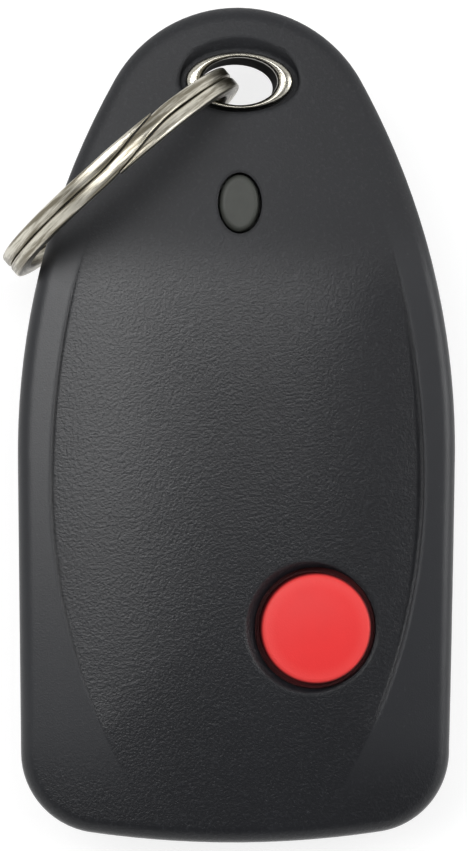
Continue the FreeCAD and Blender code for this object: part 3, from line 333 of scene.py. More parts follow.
# %% [markdown]
# In the solid, the panel's flatter crown meets the crown of the face in a crease of one degree. On the
# real cover it fades out. A height of a few hundredths of a millimetre blends the two crowns: it is the
# difference between their sharp and their soft meeting.

# %% Soft meeting of the two crowns
CROWN_Y, FACE_RADII, PANEL_RADII, PANEL_DROP, BLEND = -4.0, (66.0, 330.0), (52.0, 900.0), 0.08, 0.08


def crown_drop(tree, offset, radius):
    """Give how far a crown falls at an offset from its top, in millimetres."""
    square = maths(tree, "POWER", offset, 2.0)
    return maths(tree, "ADD", maths(tree, "DIVIDE", square, 2 * radius),
                 maths(tree, "DIVIDE", maths(tree, "POWER", square, 2.0), 8 * radius**3))


def crown_blend(tree, place):
    """Give the height that softens the meeting of both crowns, in millimetres."""
    x, y = place.outputs["X"], maths(tree, "SUBTRACT", place.outputs["Y"], CROWN_Y)
    face, panel = [maths(tree, "ADD", crown_drop(tree, x, across), crown_drop(tree, y, along))
                   for across, along in (FACE_RADII, PANEL_RADII)]
    apart = maths(tree, "SUBTRACT", maths(tree, "SUBTRACT", face, panel), PANEL_DROP)
    soft = maths(tree, "SQRT", maths(tree, "ADD", maths(tree, "POWER", apart, 2.0), BLEND**2))
    return maths(tree, "MULTIPLY", maths(tree, "SUBTRACT", maths(tree, "ABSOLUTE", apart), soft), 0.5)


print("both crowns blended over", 2 * BLEND, "mm of height")

# %% [markdown]
# The flanks' finer texture fades out towards the eyelet and towards the tail, where the sandy grain
# covers the whole face, so a second mask limits it along the case. The grain is a little glossier than
# it is dark: its relief spreads the light by itself, and the colour only has to be almost black. Round
# the eyelet and the lens the face is duller.

# %% Finish: front cover
front_plastic, tree, shader = start_material("charcoal front plastic", IOR=1.5, Specular_IOR_Level=0.36)
place = add(tree, "SeparateXYZ", {0: place_in_mm(tree)})
ends = maths(tree, "MULTIPLY", between(tree, place.outputs["Y"], 20.0, 12.0),
             between(tree, place.outputs["Y"], -28.0, -21.0))
flank = maths(tree, "MULTIPLY", ends, between(tree, panel_distance(tree, place), 0.12, -0.12))
sandy_tone = use_group(tree, tone_group, Color=(0.0080, 0.0086, 0.0108, 1),
                       Patch_size=9.0, Amount=0.3)["Color"]
flank_tone = use_group(tree, tone_group, Color=(0.018, 0.019, 0.022, 1),
                       Patch_size=11.0, Amount=0.12)["Color"]
coarse = use_group(tree, grain_group, Grain_size=0.17)
fine = use_group(tree, grain_group, Grain_size=0.09)
base = blend_colours(tree, flank, sandy_tone, flank_tone)
sandy = maths(tree, "SUBTRACT", 1.0, flank)
lit = blend_colours(tree, maths(tree, "MULTIPLY", coarse["Crests"], maths(tree, "MULTIPLY", sandy, 0.45)),
                    base, (0.030, 0.032, 0.037, 1))
rubbed = use_group(tree, wear_group, Width=0.3, Amount=0.2)["Mask"]
worn = blend_colours(tree, rubbed, lit, (0.09, 0.09, 0.095, 1))
dusty = blend_colours(tree, use_group(tree, dust_group, Amount=0.1)["Mask"], worn, (0.2, 0.2, 0.2, 1))
tree.links.new(dusty, shader.inputs["Base Color"])
nose_end = between(tree, place.outputs["Y"], 12.0, 18.0)
roughness = maths(tree, "ADD", maths(tree, "MULTIPLY", flank, 0.04),
                  maths(tree, "ADD", maths(tree, "MULTIPLY", fine["Crests"], 0.08),
                        maths(tree, "MULTIPLY", nose_end, 0.22)))
tree.links.new(maths(tree, "ADD", roughness, 0.30), shader.inputs["Roughness"])
relief = maths(tree, "ADD", maths(tree, "MULTIPLY", coarse["Height"], sandy),
               maths(tree, "MULTIPLY", fine["Height"], maths(tree, "MULTIPLY", flank, 0.35)))
inside = between(tree, panel_distance(tree, place), 0.0, 1.5)
height = maths(tree, "ADD", maths(tree, "MULTIPLY", relief, 0.026),
               maths(tree, "MULTIPLY", crown_blend(tree, place), inside))
bump(tree, shader, height, 1.0, soft_edges_mm=0.45)
wear_finish(front_plastic, "front_cover")

# %% [markdown]
# The rear cover comes from the same plastic. Its grain is the fine one all over, and it is rubbed
# more, because the fob lies on it.

# %% Finish: rear cover
rear_plastic, tree, shader = start_material("charcoal rear plastic", IOR=1.5)
tone = use_group(tree, tone_group, Color=(0.018, 0.019, 0.022, 1), Patch_size=10.0, Amount=0.12)["Color"]
grain = use_group(tree, grain_group, Grain_size=0.12)
rubbed = use_group(tree, wear_group, Width=0.35, Amount=0.5)["Mask"]
worn = blend_colours(tree, rubbed, tone, (0.09, 0.09, 0.095, 1))
tree.links.new(worn, shader.inputs["Base Color"])
tree.links.new(maths(tree, "ADD", 0.45, maths(tree, "MULTIPLY", grain["Crests"], 0.1)),
               shader.inputs["Roughness"])
bump(tree, shader, grain["Height"], 0.02)
wear_finish(rear_plastic, "rear_cover")

# %% [markdown]
# ## The button
# The button is moulded in red plastic with a finer grain, domed a little. Its middle is polished by
# the thumb, so the grain is weaker there. Towards its edge the colour is a shade lighter, and the
# rounded side is painted nearly black: painted shade where it turns down into the gap.

# %% Finish: red button
BUTTON_X, BUTTON_Y = 6.0, -13.77
red_plastic, tree, shader = start_material("red button plastic", IOR=1.48, Specular_IOR_Level=0.3,
                                           Subsurface_Weight=0.05, Subsurface_Scale=0.4 * MM)
place = add(tree, "SeparateXYZ", {0: place_in_mm(tree)})
off_x = maths(tree, "SUBTRACT", place.outputs["X"], BUTTON_X)
off_y = maths(tree, "SUBTRACT", place.outputs["Y"], BUTTON_Y)
from_middle = maths(tree, "SQRT", maths(tree, "ADD", maths(tree, "POWER", off_x, 2.0),
                                        maths(tree, "POWER", off_y, 2.0)))
rim = between(tree, from_middle, 3.0, 4.0)
red = use_group(tree, tone_group, Color=(0.82, 0.034, 0.034, 1), Patch_size=3.5, Amount=0.06)["Color"]
faded = blend_colours(tree, maths(tree, "MULTIPLY", rim, 0.6), red, (0.86, 0.07, 0.066, 1))
# Painted shade: the rounded side is darkened nearly to black where it turns into the gap.
painted_rim_shade = between(tree, from_middle, 4.05, 4.3)
tree.links.new(blend_colours(tree, painted_rim_shade, faded, (0.09, 0.004, 0.006, 1)), shader.inputs["Base Color"])
grain = use_group(tree, grain_group, Grain_size=0.1)
thumbed = between(tree, from_middle, 0.5, 4.0, 0.35, 1.0)
tree.links.new(maths(tree, "ADD", 0.36, maths(tree, "MULTIPLY", thumbed, 0.14)), shader.inputs["Roughness"])
bump(tree, shader, maths(tree, "MULTIPLY", grain["Height"], thumbed), 0.012)
wear_finish(red_plastic, "button_cap")

# %% [markdown]
# ## The status light
# The lens is a light pipe of smoky acrylic. Fully clear glass would show the dark inside, so a part of
# the light goes through and the rest shows the smoke's own grey-green. The lamp under it is tinted red
# epoxy.

# %% Finish: lens and lamp
smoke, tree, shader = start_material("smoky acrylic", IOR=1.49, Transmission_Weight=0.25,
                                     Specular_IOR_Level=0.3)
tone = use_group(tree, tone_group, Color=(0.062, 0.066, 0.058, 1), Patch_size=1.6, Amount=0.3)
tree.links.new(tone["Color"], shader.inputs["Base Color"])
tree.links.new(maths(tree, "ADD", 0.46, maths(tree, "MULTIPLY", tone["Patches"], 0.08)),
               shader.inputs["Roughness"])
wear_finish(smoke, "led_lens")

epoxy, tree, shader = start_material("red lamp epoxy", IOR=1.5, Transmission_Weight=0.5)
tone = use_group(tree, tone_group, Color=(0.62, 0.03, 0.03, 1), Patch_size=1.2, Amount=0.1)
tree.links.new(tone["Color"], shader.inputs["Base Color"])
tree.links.new(maths(tree, "ADD", 0.1, maths(tree, "MULTIPLY", tone["Patches"], 0.1)),
               shader.inputs["Roughness"])
wear_finish(epoxy, "status_led")

# %% [markdown]
# ## Nickel: the eyelet and the split ring
# Both are plated with nickel, which is a warm grey. The ring's wire was drawn flat, so its lines run
# round the ring. To make them follow, the place on the ring is turned into three numbers: the way
# round, the way out and the way along the axis. The axis leans a few degrees, as in the CAD frame.

# %% The ring's own directions
RING_MIDDLE = Vector((-9.1, 21.628, 9.75))
RING_WAY = math.radians(220.8)
RING_LEAN = math.radians(3.0)
LINES_REACH = 11.0
ring_out = Vector((math.cos(RING_WAY), math.sin(RING_WAY), 0))
ring_side = Vector((math.sin(RING_WAY), -math.cos(RING_WAY), 0))
ring_up = Vector((0, 0, 1)) * math.cos(RING_LEAN) + ring_side * math.sin(RING_LEAN)
ring_axis = ring_out.cross(ring_up).normalized()


def along(tree, vector, direction):
    """Give how far a vector reaches along a direction."""
    return add(tree, "VectorMath", {0: vector, 1: direction}, operation="DOT_PRODUCT").outputs["Value"]


def round_place(tree, middle, out, up, axis):
    """Turn the place into way round, way out and way along an axis, all in millimetres."""
    place = add(tree, "VectorMath", {0: place_in_mm(tree), 1: middle}, operation="SUBTRACT").outputs[0]
    a, b, c = (along(tree, place, direction) for direction in (out, up, axis))
    reach = maths(tree, "SQRT", maths(tree, "ADD", maths(tree, "POWER", a, 2.0), maths(tree, "POWER", b, 2.0)))
    turn = maths(tree, "ARCTAN2", b, a)
    return add(tree, "CombineXYZ", {"X": maths(tree, "MULTIPLY", turn, LINES_REACH),
                                    "Y": reach, "Z": c}).outputs[0]


print("ring axis:", tuple(round(n, 3) for n in ring_axis))

# %% [markdown]
# The wire's drawn lines give it relief, and the same mask paints dark streaks into its colour: painted
# reflections of dark surroundings in the facets, bright between them. The rubbed corners come out brightest.

# %% Finish: split ring
ring_nickel, tree, shader = start_material("drawn nickel wire", Metallic=1.0)
lines = use_group(tree, streak_group, Place=round_place(tree, RING_MIDDLE, ring_out, ring_up, ring_axis),
                  Stretch=14.0, Fineness=3.2)
warm = use_group(tree, tone_group, Color=(0.80, 0.77, 0.67, 1), Patch_size=2.5, Amount=0.14)
# Dark streaks painted into the colour: painted reflections of dark surroundings on the wire.
painted_reflection_streaks = blend_colours(tree, maths(tree, "MULTIPLY", lines["Lines"], 0.7), (0.20, 0.18, 0.135, 1), warm["Color"])
rubbed = use_group(tree, wear_group, Width=0.15, Amount=0.6)["Mask"]
tree.links.new(blend_colours(tree, rubbed, painted_reflection_streaks, (0.80, 0.78, 0.71, 1)), shader.inputs["Base Color"])
tree.links.new(maths(tree, "ADD", 0.22, maths(tree, "MULTIPLY", warm["Patches"], 0.22)),
               shader.inputs["Roughness"])
bump(tree, shader, lines["Height"], 0.05, 0.6)
wear_finish(ring_nickel, "split_ring")

# %% [markdown]
# The solid of the ring steps aside where its wire changes turns. On the real ring both ends are ground
# to wedges there, so the ring hardly widens. A finer wire stands for the solid in the picture. It is a
# row of rounded sections, and the two wedges give way to the strand that crosses between them.

# %% Sections of the wire
RING_REACH, HALF_WIRE, HALF_PAIR, HALF_TURN, SLIT = 10.7, 0.70, 0.985, 0.475, 0.07
CROSSING_AT, CROSSING_HALF = 82.0, 21.0
WIRE_CORNER, SECTION_POINTS, BULGE = 0.22, 16, 0.05
from_eyelet, ring_side_way = -ring_out, ring_up.cross(ring_out)


def wire_section(degrees, low, high):
    """Give the points of one rounded section between two places along the ring's axis."""
    turn = math.radians(degrees)
    out_way = from_eyelet * math.cos(turn) + ring_up * math.sin(turn)
    corner = min(WIRE_CORNER, 0.45 * (high - low))
    points = []
    for i in range(SECTION_POINTS):
        angle = math.radians(360 / SECTION_POINTS * (i + 0.5))
        out = math.copysign(HALF_WIRE - corner, math.cos(angle)) + corner * math.cos(angle)
        aside = math.copysign((high - low) / 2 - corner, math.sin(angle)) + corner * math.sin(angle)
        aside += (high + low) / 2
        points.append((RING_MIDDLE + out_way * (RING_REACH + out) + ring_side_way * aside) * MM)
    return points


def crossing(spot):
    """Give the middle of the crossing strand at a number of degrees from the crossing's middle."""
    return (HALF_TURN + SLIT / 2) * math.sin(math.pi / 2 * spot / CROSSING_HALF)


def bulge(spot):
    """Give how much the pair widens near the crossing."""
    return BULGE * math.cos(math.pi / 2 * spot / CROSSING_HALF)


print("sections of", 2 * HALF_WIRE, "mm by", 2 * HALF_TURN, "mm")

# %% [markdown]
# The wire is one strand, as it is on the real ring: a wedge, the lower turn, the crossing, the upper
# turn and the other wedge.

# %% The finer ring


def wire_bounds(spot):
    """Give where the wire lies along the ring's axis, at a number of degrees from the first crossing."""
    if spot < CROSSING_HALF:
        return -HALF_PAIR - bulge(spot), crossing(spot) - HALF_TURN - SLIT
    if spot < 360 - CROSSING_HALF:
        return -HALF_PAIR, -SLIT / 2
    if spot <= 360 + CROSSING_HALF:
        return crossing(spot - 360) - HALF_TURN, crossing(spot - 360) + HALF_TURN
    if spot <= 720 - CROSSING_HALF:
        return SLIT / 2, HALF_PAIR
    return crossing(spot - 720) + HALF_TURN + SLIT, HALF_PAIR + bulge(spot - 720)


def make_piece(name, shape, material, body):
    """Turn a bmesh into a smooth piece with its finish that rides on a body."""
    bmesh.ops.recalc_face_normals(shape, faces=shape.faces)
    mesh = bpy.data.meshes.new(name)
    shape.to_mesh(mesh)
    shape.free()
    mesh.shade_smooth()
    mesh.materials.append(material)
    piece = bpy.data.objects.new(name, mesh)
    bpy.context.scene.collection.objects.link(piece)
    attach(piece, body)
    print("piece:", name, "faces:", len(mesh.polygons))
    return piece


wire = bmesh.new()
WEDGE_TIP, WIRE_STEPS = -12.0, 298
rows = []
for i in range(WIRE_STEPS + 1):
    spot = WEDGE_TIP + (720 - 2 * WEDGE_TIP) * i / WIRE_STEPS
    rows.append([wire.verts.new(point) for point in wire_section(CROSSING_AT + spot, *wire_bounds(spot))])
for one, two in zip(rows, rows[1:]):
    for i in range(SECTION_POINTS):
        after = (i + 1) % SECTION_POINTS
        wire.faces.new((one[i], one[after], two[after], two[i]))
wire.faces.new(reversed(rows[0]))
wire.faces.new(rows[-1])
ring_wire = make_piece("split_ring_wire", wire, ring_nickel, "ring")
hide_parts("split_ring")

# %% [markdown]
# The eyelet was pressed from sheet and rolled over, so it is smoother than the wire. Keys and the
# ring have dulled it unevenly.

# %% Where the eyelet's rim rolls over
EYELET_Y = 28.62
HOLE_HALVES, RIM_HALVES = (2.96, 1.85), (4.18, 2.25)


def oval_reach(tree, place, halves):
    """Give 1 on an oval about the eyelet's middle, less inside it and more outside."""
    x = maths(tree, "DIVIDE", place.outputs["X"], halves[0])
    y = maths(tree, "DIVIDE", maths(tree, "SUBTRACT", place.outputs["Y"], EYELET_Y), halves[1])
    return maths(tree, "SQRT", maths(tree, "ADD", maths(tree, "POWER", x, 2.0), maths(tree, "POWER", y, 2.0)))


print("rim from", HOLE_HALVES, "to", RIM_HALVES, "mm")

# %% [markdown]
# The rim's top is flat in the solid. A height that rises and falls again between the hole and the
# rim's outside makes it shine like the rolled sheet it is. Down the bore the colour and its reflection
# are painted dark, as painted shade inside the hole, and the roughness rises there.

# %% Finish: eyelet
eyelet_nickel, tree, shader = start_material("pressed nickel sheet", Metallic=1.0)
place = add(tree, "SeparateXYZ", {0: place_in_mm(tree)})
past_hole = maths(tree, "SUBTRACT", oval_reach(tree, place, HOLE_HALVES), 1.0)
short_of_rim = maths(tree, "SUBTRACT", 1.0, oval_reach(tree, place, RIM_HALVES))
across = maths(tree, "DIVIDE", past_hole, maths(tree, "ADD", past_hole, short_of_rim), clamp=True)
rolled = maths(tree, "MULTIPLY", across, maths(tree, "SUBTRACT", 1.0, across))
warm = use_group(tree, tone_group, Color=(0.74, 0.72, 0.65, 1), Patch_size=1.8, Amount=0.12)
lines = use_group(tree, streak_group, Place=place_in_mm(tree), Stretch=6.0, Fineness=4.0)
lined = blend_colours(tree, maths(tree, "MULTIPLY", lines["Lines"], 0.4), (0.42, 0.40, 0.34, 1), warm["Color"])
# Painted shade: down the hole the bore's colour is darkened nearly to black.
painted_bore_shade = between(tree, place.outputs["Z"], 12.1, 11.6)
tree.links.new(blend_colours(tree, painted_bore_shade, lined, (0.045, 0.042, 0.036, 1)), shader.inputs["Base Color"])
tree.links.new(maths(tree, "ADD", maths(tree, "ADD", 0.15, maths(tree, "MULTIPLY", painted_bore_shade, 0.25)),
                     maths(tree, "MULTIPLY", warm["Patches"], 0.2)), shader.inputs["Roughness"])
bump(tree, shader, maths(tree, "ADD", rolled, maths(tree, "MULTIPLY", lines["Height"], 0.008)), 1.1)
# The painted shade also dims the bore's reflection.
tree.links.new(blend_colours(tree, painted_bore_shade, (1, 1, 1, 1), (0.1, 0.1, 0.1, 1)), shader.inputs["Specular Tint"])
wear_finish(eyelet_nickel, "eyelet_liner")

# %% [markdown]
# ## The face round the eyelet
# On the real cover the dish is deep on the side of the nose only, and the face runs level up to the rim
# on the other side. The solid's dish is deep all round, so a thin skin carries the face on to the rim.
# It lies a hundredth of a millimetre over the face's own crown. Towards the nose it narrows to nothing,
# where the solid's own edge is the right one.

# %% Height of the face
CASE_TOP, (CROWN_CROSS, CROWN_LONG) = 14.0, FACE_RADII
DISH_FLOOR_Z = 11.5
DISH_HALVES, SKIN_NOSE_HALF, SKIN_TAIL_HALF = (4.62, 3.60), 5.0, 6.75
SKIN_SIDE_HALF, RIM_SIDE_HALF, SKIN_END, LIP_RADIUS = 6.6, 2.42, 0.766, 0.25
SKIN_OVER, SKIN_SINK, UNDER_FLOOR, SKIN_STEPS = 0.012, 0.009, 0.05, 8


def face_height(x, y):
    """Give the height of the button face near the eyelet, in millimetres."""
    along_drop = CROWN_LONG - math.sqrt(CROWN_LONG**2 - (y - CROWN_Y)**2)
    across_drop = CROWN_CROSS - math.sqrt(CROWN_CROSS**2 - x**2)
    return CASE_TOP - along_drop - across_drop


def skin_row(turn):
    """Give the points of the skin at one way round the eyelet, from the dish's floor to the outside."""
    x, y = math.cos(turn), math.sin(turn)
    width = min(1.0, (SKIN_END - y) / SKIN_END)
    edge = Vector((x * DISH_HALVES[0], y * (DISH_HALVES[1] if y > 0 else RIM_SIDE_HALF)))
    limit = Vector((math.copysign(abs(x)**0.5, x) * SKIN_SIDE_HALF,
                    y * SKIN_NOSE_HALF if y > 0 else -abs(y)**0.5 * SKIN_TAIL_HALF))
    across = (limit - edge) * width
    radius = LIP_RADIUS * width
    lip = across.normalized() * radius
    points = [(edge, DISH_FLOOR_Z - UNDER_FLOOR - face_height(edge.x, EYELET_Y + edge.y))]
    for angle in (0, 30, 60, 90):
        round_in, round_up = 1 - math.cos(math.radians(angle)), math.sin(math.radians(angle))
        points.append((edge + lip * round_in, SKIN_OVER - radius + radius * round_up))
    for step in range(1, SKIN_STEPS + 1):
        points.append((edge + lip + (across - lip) * step / SKIN_STEPS,
                      SKIN_OVER - SKIN_SINK * step / SKIN_STEPS))
    return [Vector((spot.x, EYELET_Y + spot.y, face_height(spot.x, EYELET_Y + spot.y) + over)) * MM
            for spot, over in points]


print("face at the eyelet:", round(face_height(0, EYELET_Y), 2), "mm")

# %% [markdown]
# The skin is a grid of rows round the eyelet, open towards the nose.

# %% Skin round the eyelet
skin = bmesh.new()
FIRST_TURN, LAST_TURN, TURNS = math.radians(-229), math.radians(49), 96
grid = []
for i in range(TURNS + 1):
    turn = FIRST_TURN + (LAST_TURN - FIRST_TURN) * i / TURNS
    grid.append([skin.verts.new(point) for point in skin_row(turn)])
for one, two in zip(grid, grid[1:]):
    for i in range(len(one) - 1):
        skin.faces.new((one[i], one[i + 1], two[i + 1], two[i]))
make_piece("eyelet_surround", skin, front_plastic, "case")

# %% [markdown]
# ## Inside: metals
# The other metal parts differ in colour and in how they were worked, not in kind. One function makes
# them all: a metal with a tone, streaks along one way and worn edges. Each call names the colour and
# the roughness, and what the lines follow.

# %% Finishes: metals inside


def worked_metal(name, colour, roughness, stretch, fineness, *names):
    """Make a metal with drawn or rolled lines and put it on CAD nodes."""
    material, tree, shader = start_material(name, Metallic=1.0)
    tone = use_group(tree, tone_group, Color=(*colour, 1), Patch_size=1.5, Amount=0.1)
    lines = use_group(tree, streak_group, Place=place_in_mm(tree), Stretch=stretch, Fineness=fineness)
    dark = tuple(0.6 * part for part in colour)
    lined = blend_colours(tree, maths(tree, "MULTIPLY", lines["Lines"], 0.3), tone["Color"], (*dark, 1))
    bright = tuple(min(1.0, 1.25 * part) for part in colour)
    rubbed = use_group(tree, wear_group, Width=0.08, Amount=0.6)["Mask"]
    tree.links.new(blend_colours(tree, rubbed, lined, (*bright, 1)), shader.inputs["Base Color"])
    tree.links.new(maths(tree, "ADD", roughness, maths(tree, "MULTIPLY", tone["Patches"], 0.15)),
                   shader.inputs["Roughness"])
    bump(tree, shader, lines["Height"], 0.01, 0.5)
    wear_finish(material, *names)


worked_metal("stamped switch steel", (0.60, 0.60, 0.60), 0.25, 8.0, 5.0, "switch_cover")
worked_metal("rolled spring steel", (0.62, 0.61, 0.58), 0.18, 10.0, 6.0, "switch_dome")
worked_metal("tinned leads", (0.68, 0.68, 0.67), 0.28, 3.0, 4.0, "switch_leads", "encoder_leads")
worked_metal("drawn can steel", (0.66, 0.65, 0.62), 0.22, 5.0, 2.5, "saw_resonator")
worked_metal("turned rotor brass", (0.70, 0.52, 0.24), 0.24, 6.0, 4.0, "trimmer_rotor")
worked_metal("plated cell steel", (0.66, 0.66, 0.65), 0.24, 16.0, 3.0, "battery_cell")
worked_metal("plated contact sheet", (0.67, 0.66, 0.62), 0.2, 12.0, 4.0,
             "battery_clip_positive", "battery_contact_negative")
worked_metal("zinc screw steel", (0.56, 0.56, 0.55), 0.3, 2.0, 5.0, "case_screws")

# %% [markdown]
# ## Inside: mouldings and ceramics
# The switch, the holder, the chips and the small parts are moulded or fired. They share the grain and
# the drifting tone, with their own colours and gloss.

# %% Finishes: mouldings inside


def moulding(name, colour, roughness, grain_size, depth_mm, *names):
    """Make a moulded or fired finish and put it on CAD nodes."""
    material, tree, shader = start_material(name, IOR=1.5)
    tone = use_group(tree, tone_group, Color=(*colour, 1), Patch_size=2.0, Amount=0.12)["Color"]
    grain = use_group(tree, grain_group, Grain_size=grain_size)
    light = tuple(min(1.0, 1.6 * part + 0.02) for part in colour)
    rubbed = use_group(tree, wear_group, Width=0.1, Amount=0.5)["Mask"]
    tree.links.new(blend_colours(tree, rubbed, tone, (*light, 1)), shader.inputs["Base Color"])
    tree.links.new(maths(tree, "ADD", roughness, maths(tree, "MULTIPLY", grain["Crests"], 0.1)),
                   shader.inputs["Roughness"])
    bump(tree, shader, grain["Height"], depth_mm)
    wear_finish(material, *names)


moulding("black switch moulding", (0.030, 0.030, 0.032), 0.45, 0.12, 0.010, "switch_base")
moulding("black plunger moulding", (0.050, 0.050, 0.052), 0.40, 0.10, 0.008, "switch_plunger")
moulding("chip epoxy", (0.035, 0.035, 0.038), 0.55, 0.08, 0.012, "encoder_chip", "rf_transistor")
moulding("cream trimmer ceramic", (0.70, 0.66, 0.55), 0.50, 0.06, 0.005, "trimmer_base")
moulding("amber capacitor moulding", (0.62, 0.37, 0.07), 0.25, 0.15, 0.006, "supply_capacitor")
moulding("black holder moulding", (0.040, 0.040, 0.042), 0.42, 0.14, 0.012, "battery_holder")

# %% [markdown]
# The resistors and small capacitors are ceramic blocks with tinned ends. The blocks all lie the same
# way, along Y, so the ends are found by the place within each one.

# %% Finish: small components
COMPONENT_ROWS = (12.5, 15.1, -19.5)
component_ceramic, tree, shader = start_material("ceramic with tinned ends", IOR=1.55)
row_y = add(tree, "SeparateXYZ", {0: place_in_mm(tree)}).outputs["Y"]
nearest = None
for row in COMPONENT_ROWS:
    off = maths(tree, "ABSOLUTE", maths(tree, "SUBTRACT", row_y, row))
    nearest = off if nearest is None else maths(tree, "MINIMUM", nearest, off)
tinned = between(tree, nearest, 0.62, 0.66)
ceramic = use_group(tree, tone_group, Color=(0.42, 0.33, 0.25, 1), Patch_size=2.4, Amount=0.35)["Color"]
tree.links.new(blend_colours(tree, tinned, ceramic, (0.68, 0.68, 0.67, 1)), shader.inputs["Base Color"])
tree.links.new(tinned, shader.inputs["Metallic"])
grain = use_group(tree, grain_group, Grain_size=0.08)
tree.links.new(maths(tree, "ADD", 0.3, maths(tree, "MULTIPLY", grain["Crests"], 0.15)),
               shader.inputs["Roughness"])
bump(tree, shader, grain["Height"], 0.008)
wear_finish(component_ceramic, "chip_components")

# %% [markdown]
# The board's own green coat lets the copper tracks under it show as lighter lines, with a bare edge of
# glass fibre.

# %% Finish: circuit board
board_coat, tree, shader = start_material("green board coat", IOR=1.52, Coat_Weight=0.3, Coat_Roughness=0.15)
place = place_in_mm(tree)
board_place = add(tree, "SeparateXYZ", {0: place})
stepped = add(tree, "VectorMath", {0: place, 1: (2.54, 2.54, 2.54)}, operation="SNAP").outputs[0]
lanes = add(tree, "TexVoronoi", {"Vector": stepped, "Scale": 0.31}, distance="MANHATTAN",
            feature="DISTANCE_TO_EDGE").outputs["Distance"]
wave = add(tree, "TexBrick", {"Vector": place, "Scale": 0.3, "Mortar Size": 0.06, "Mortar Smooth": 0.1,
                              "Brick Width": 1.3, "Row Height": 0.45}).outputs["Fac"]
tracks = maths(tree, "MULTIPLY", wave, between(tree, lanes, 0.02, 0.1))
green = use_group(tree, tone_group, Color=(0.022, 0.13, 0.055, 1), Patch_size=3.0, Amount=0.15)["Color"]
coated = blend_colours(tree, tracks, green, (0.05, 0.24, 0.10, 1))
normal_z = add(tree, "SeparateXYZ", {0: add(tree, "NewGeometry").outputs["Normal"]}).outputs["Z"]
on_edge = maths(tree, "LESS_THAN", maths(tree, "ABSOLUTE", normal_z), 0.5)
tree.links.new(blend_colours(tree, on_edge, coated, (0.36, 0.33, 0.17, 1)), shader.inputs["Base Color"])
tree.links.new(maths(tree, "ADD", 0.3, maths(tree, "MULTIPLY", on_edge, 0.35)), shader.inputs["Roughness"])
bump(tree, shader, tracks, 0.03)
wear_finish(board_coat, "circuit_board")

# %% [markdown]
# ## Solder
# Each lead sits in a bead of solder. CAD leaves them out, because they carry nothing. A bead is a low
# dome that creeps up the lead, so each one is a small sphere, flattened and joined in one mesh.

# %% Solder beads
BOARD_TOP = 7.2
SWITCH_HALF, SWITCH_LEAD_Y, SWITCH_BEAD = 3.0, 1.5, 0.55
CHIP_X, CHIP_Y, CHIP_HALF, CHIP_PITCH, CHIP_BEAD = -8.0, -14.5, 1.95, 1.27, 0.42
BEAD_REACH = 0.8 * 1.05
solder_spots = [(BUTTON_X + side * (SWITCH_HALF + BEAD_REACH), BUTTON_Y + row * SWITCH_LEAD_Y, SWITCH_BEAD)
                for side in (-1, 1) for row in (-1, 1)]
solder_spots += [(CHIP_X + (i - 1.5) * CHIP_PITCH, CHIP_Y + side * (CHIP_HALF + BEAD_REACH), CHIP_BEAD)
                 for side in (-1, 1) for i in range(4)]


def solder_beads(name, spots, material):
    """Join a low dome of solder for each spot in one object."""
    shape = bmesh.new()
    for x, y, radius in spots:
        squat = Matrix.Translation(Vector((x, y, BOARD_TOP)) * MM) @ Matrix.Diagonal((1.0, 1.0, 0.45, 1.0))
        made = bmesh.ops.create_uvsphere(shape, u_segments=16, v_segments=8, radius=radius * MM, matrix=squat)
        for vertex in made["verts"]:
            vertex.co.z = max(vertex.co.z, (BOARD_TOP + 0.01) * MM)
    return make_piece(name, shape, material, "case")


solder_metal, tree, shader = start_material("solder", Metallic=1.0)
tone = use_group(tree, tone_group, Color=(0.70, 0.70, 0.70, 1), Patch_size=0.5, Amount=0.15)
tree.links.new(tone["Color"], shader.inputs["Base Color"])
tree.links.new(maths(tree, "ADD", 0.15, maths(tree, "MULTIPLY", tone["Patches"], 0.3)),
               shader.inputs["Roughness"])
solder_beads("solder_beads", solder_spots, solder_metal)
print("solder beads:", len(solder_spots))

# %% [markdown]
# ## Floor, light and camera
# The fob lies on its tail and on the lowest point of its ring, which holds the eyelet end up, so the
# floor is a plane through both, a few degrees off the frame's own level. It is white where the camera
# or a reflection sees it, and keeps the fob's shadow elsewhere.

# %% Floor
ring_bottom_z = cad_box[0][2]
FLOOR_GLOW = 0.76
TAIL_EDGE_Y = -28.1 * MM
slope = math.atan2(-ring_bottom_z, RING_MIDDLE.y * MM - TAIL_EDGE_Y)
bpy.ops.mesh.primitive_plane_add(size=6.0)
floor = bpy.context.object
floor.name = "floor"
floor.rotation_euler = (-slope, 0, 0)
floor.location = (0, 0, TAIL_EDGE_Y * math.tan(slope) - 0.00002)
paper, tree, shader = start_material("white paper", Roughness=0.9)
rays = add(tree, "LightPath").outputs
seen = maths(tree, "MAXIMUM", rays["Is Camera Ray"],
             maths(tree, "MAXIMUM", rays["Is Glossy Ray"], rays["Is Transmission Ray"]))
tree.links.new(blend_colours(tree, seen, (0.86, 0.86, 0.86, 1), (0.34, 0.34, 0.34, 1)),
               shader.inputs["Base Color"])
tree.links.new(maths(tree, "MULTIPLY", seen, FLOOR_GLOW), shader.inputs["Emission Strength"])
shader.inputs["Emission Color"].default_value = (1, 1, 1, 1)
floor.data.materials.append(paper)
print("floor slope:", round(math.degrees(slope), 2), "degrees")

# %% [markdown]
# The light is soft and comes mostly from the upper left, as in a small product tent. A wide, shallow
# lamp over the nose brightens the upper part of the panel, and a weak one on the right shapes the flank.
# The world fills the shadows. It is white to the camera and through glass, and in reflections its
# walls are white and its ceiling is dark, which gives the metal its streaks.

# %% Lamps and world


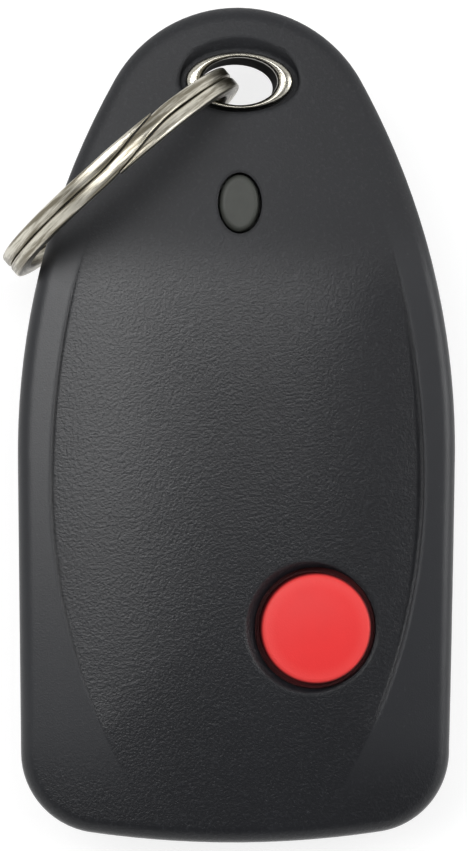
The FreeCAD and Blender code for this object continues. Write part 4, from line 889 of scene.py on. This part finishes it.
def softbox(name, place, width, height, power):
    """Hang a rectangular area lamp that faces the fob."""
    lamp = bpy.data.lights.new(name, "AREA")
    lamp.shape = "RECTANGLE"
    lamp.size, lamp.size_y = width, height
    lamp.energy = power
    holder = bpy.data.objects.new(name, lamp)
    holder.location = place
    holder.rotation_euler = (-Vector(place)).to_track_quat("-Z", "Y").to_euler()
    bpy.context.scene.collection.objects.link(holder)
    print("lamp:", name, power, "W")


softbox("key softbox", (-0.32, 0.14, 0.66), 0.32, 0.32, 2.5)
softbox("front softbox", (0.04, 0.19, 0.70), 0.50, 0.14, 1.7)
softbox("right softbox", (0.55, 0.05, 0.30), 0.25, 0.25, 1.1)
world = bpy.data.worlds.new("tent")
bpy.context.scene.world = world
world.use_nodes = True
tree = world.node_tree
tent = tree.nodes["Background"]
rays = add(tree, "LightPath")
way = add(tree, "SeparateXYZ", {0: add(tree, "TexCoord").outputs["Generated"]})
walls = between(tree, way.outputs["Z"], 0.80, 0.45)
level = maths(tree, "ADD", rays.outputs["Is Camera Ray"],
              maths(tree, "ADD", rays.outputs["Is Transmission Ray"],
                    maths(tree, "MULTIPLY", rays.outputs["Is Glossy Ray"], walls)), clamp=True)
tree.links.new(maths(tree, "ADD", 0.18, maths(tree, "MULTIPLY", level, 0.82)), tent.inputs["Strength"])
tent.inputs["Color"].default_value = (1, 1, 1, 1)

# %% [markdown]
# The camera hangs about 28 cm over the face, a few degrees to the left, so it sees a little of the left
# flank, and it is turned a fraction of a degree. It is near enough to show the ring larger than the
# tail. The focal length follows from the photo's scale, 12.65 pixels per millimetre at the face.

# %% Camera
FRAME_PIXELS, PIXELS_PER_MM = 851, 12.65
DISTANCE, AIM = 278.0, Vector((0.0, 1.9, 7.0))
lean_left, roll = math.radians(3.3), math.radians(0.2)
camera = bpy.data.cameras.new("camera")
camera.sensor_width = 36.0
camera.lens = camera.sensor_width * DISTANCE * PIXELS_PER_MM / FRAME_PIXELS
eye = bpy.data.objects.new("camera", camera)
eye.location = (AIM + DISTANCE * Vector((-math.sin(lean_left), 0, math.cos(lean_left)))) * MM
eye.rotation_euler = (Matrix.Rotation(-lean_left, 3, "Y") @ Matrix.Rotation(roll, 3, "Z")).to_euler()
bpy.context.scene.collection.objects.link(eye)
bpy.context.scene.camera = eye
bpy.context.scene.view_settings.view_transform = "Standard"
print("focal length:", round(camera.lens, 1), "mm")
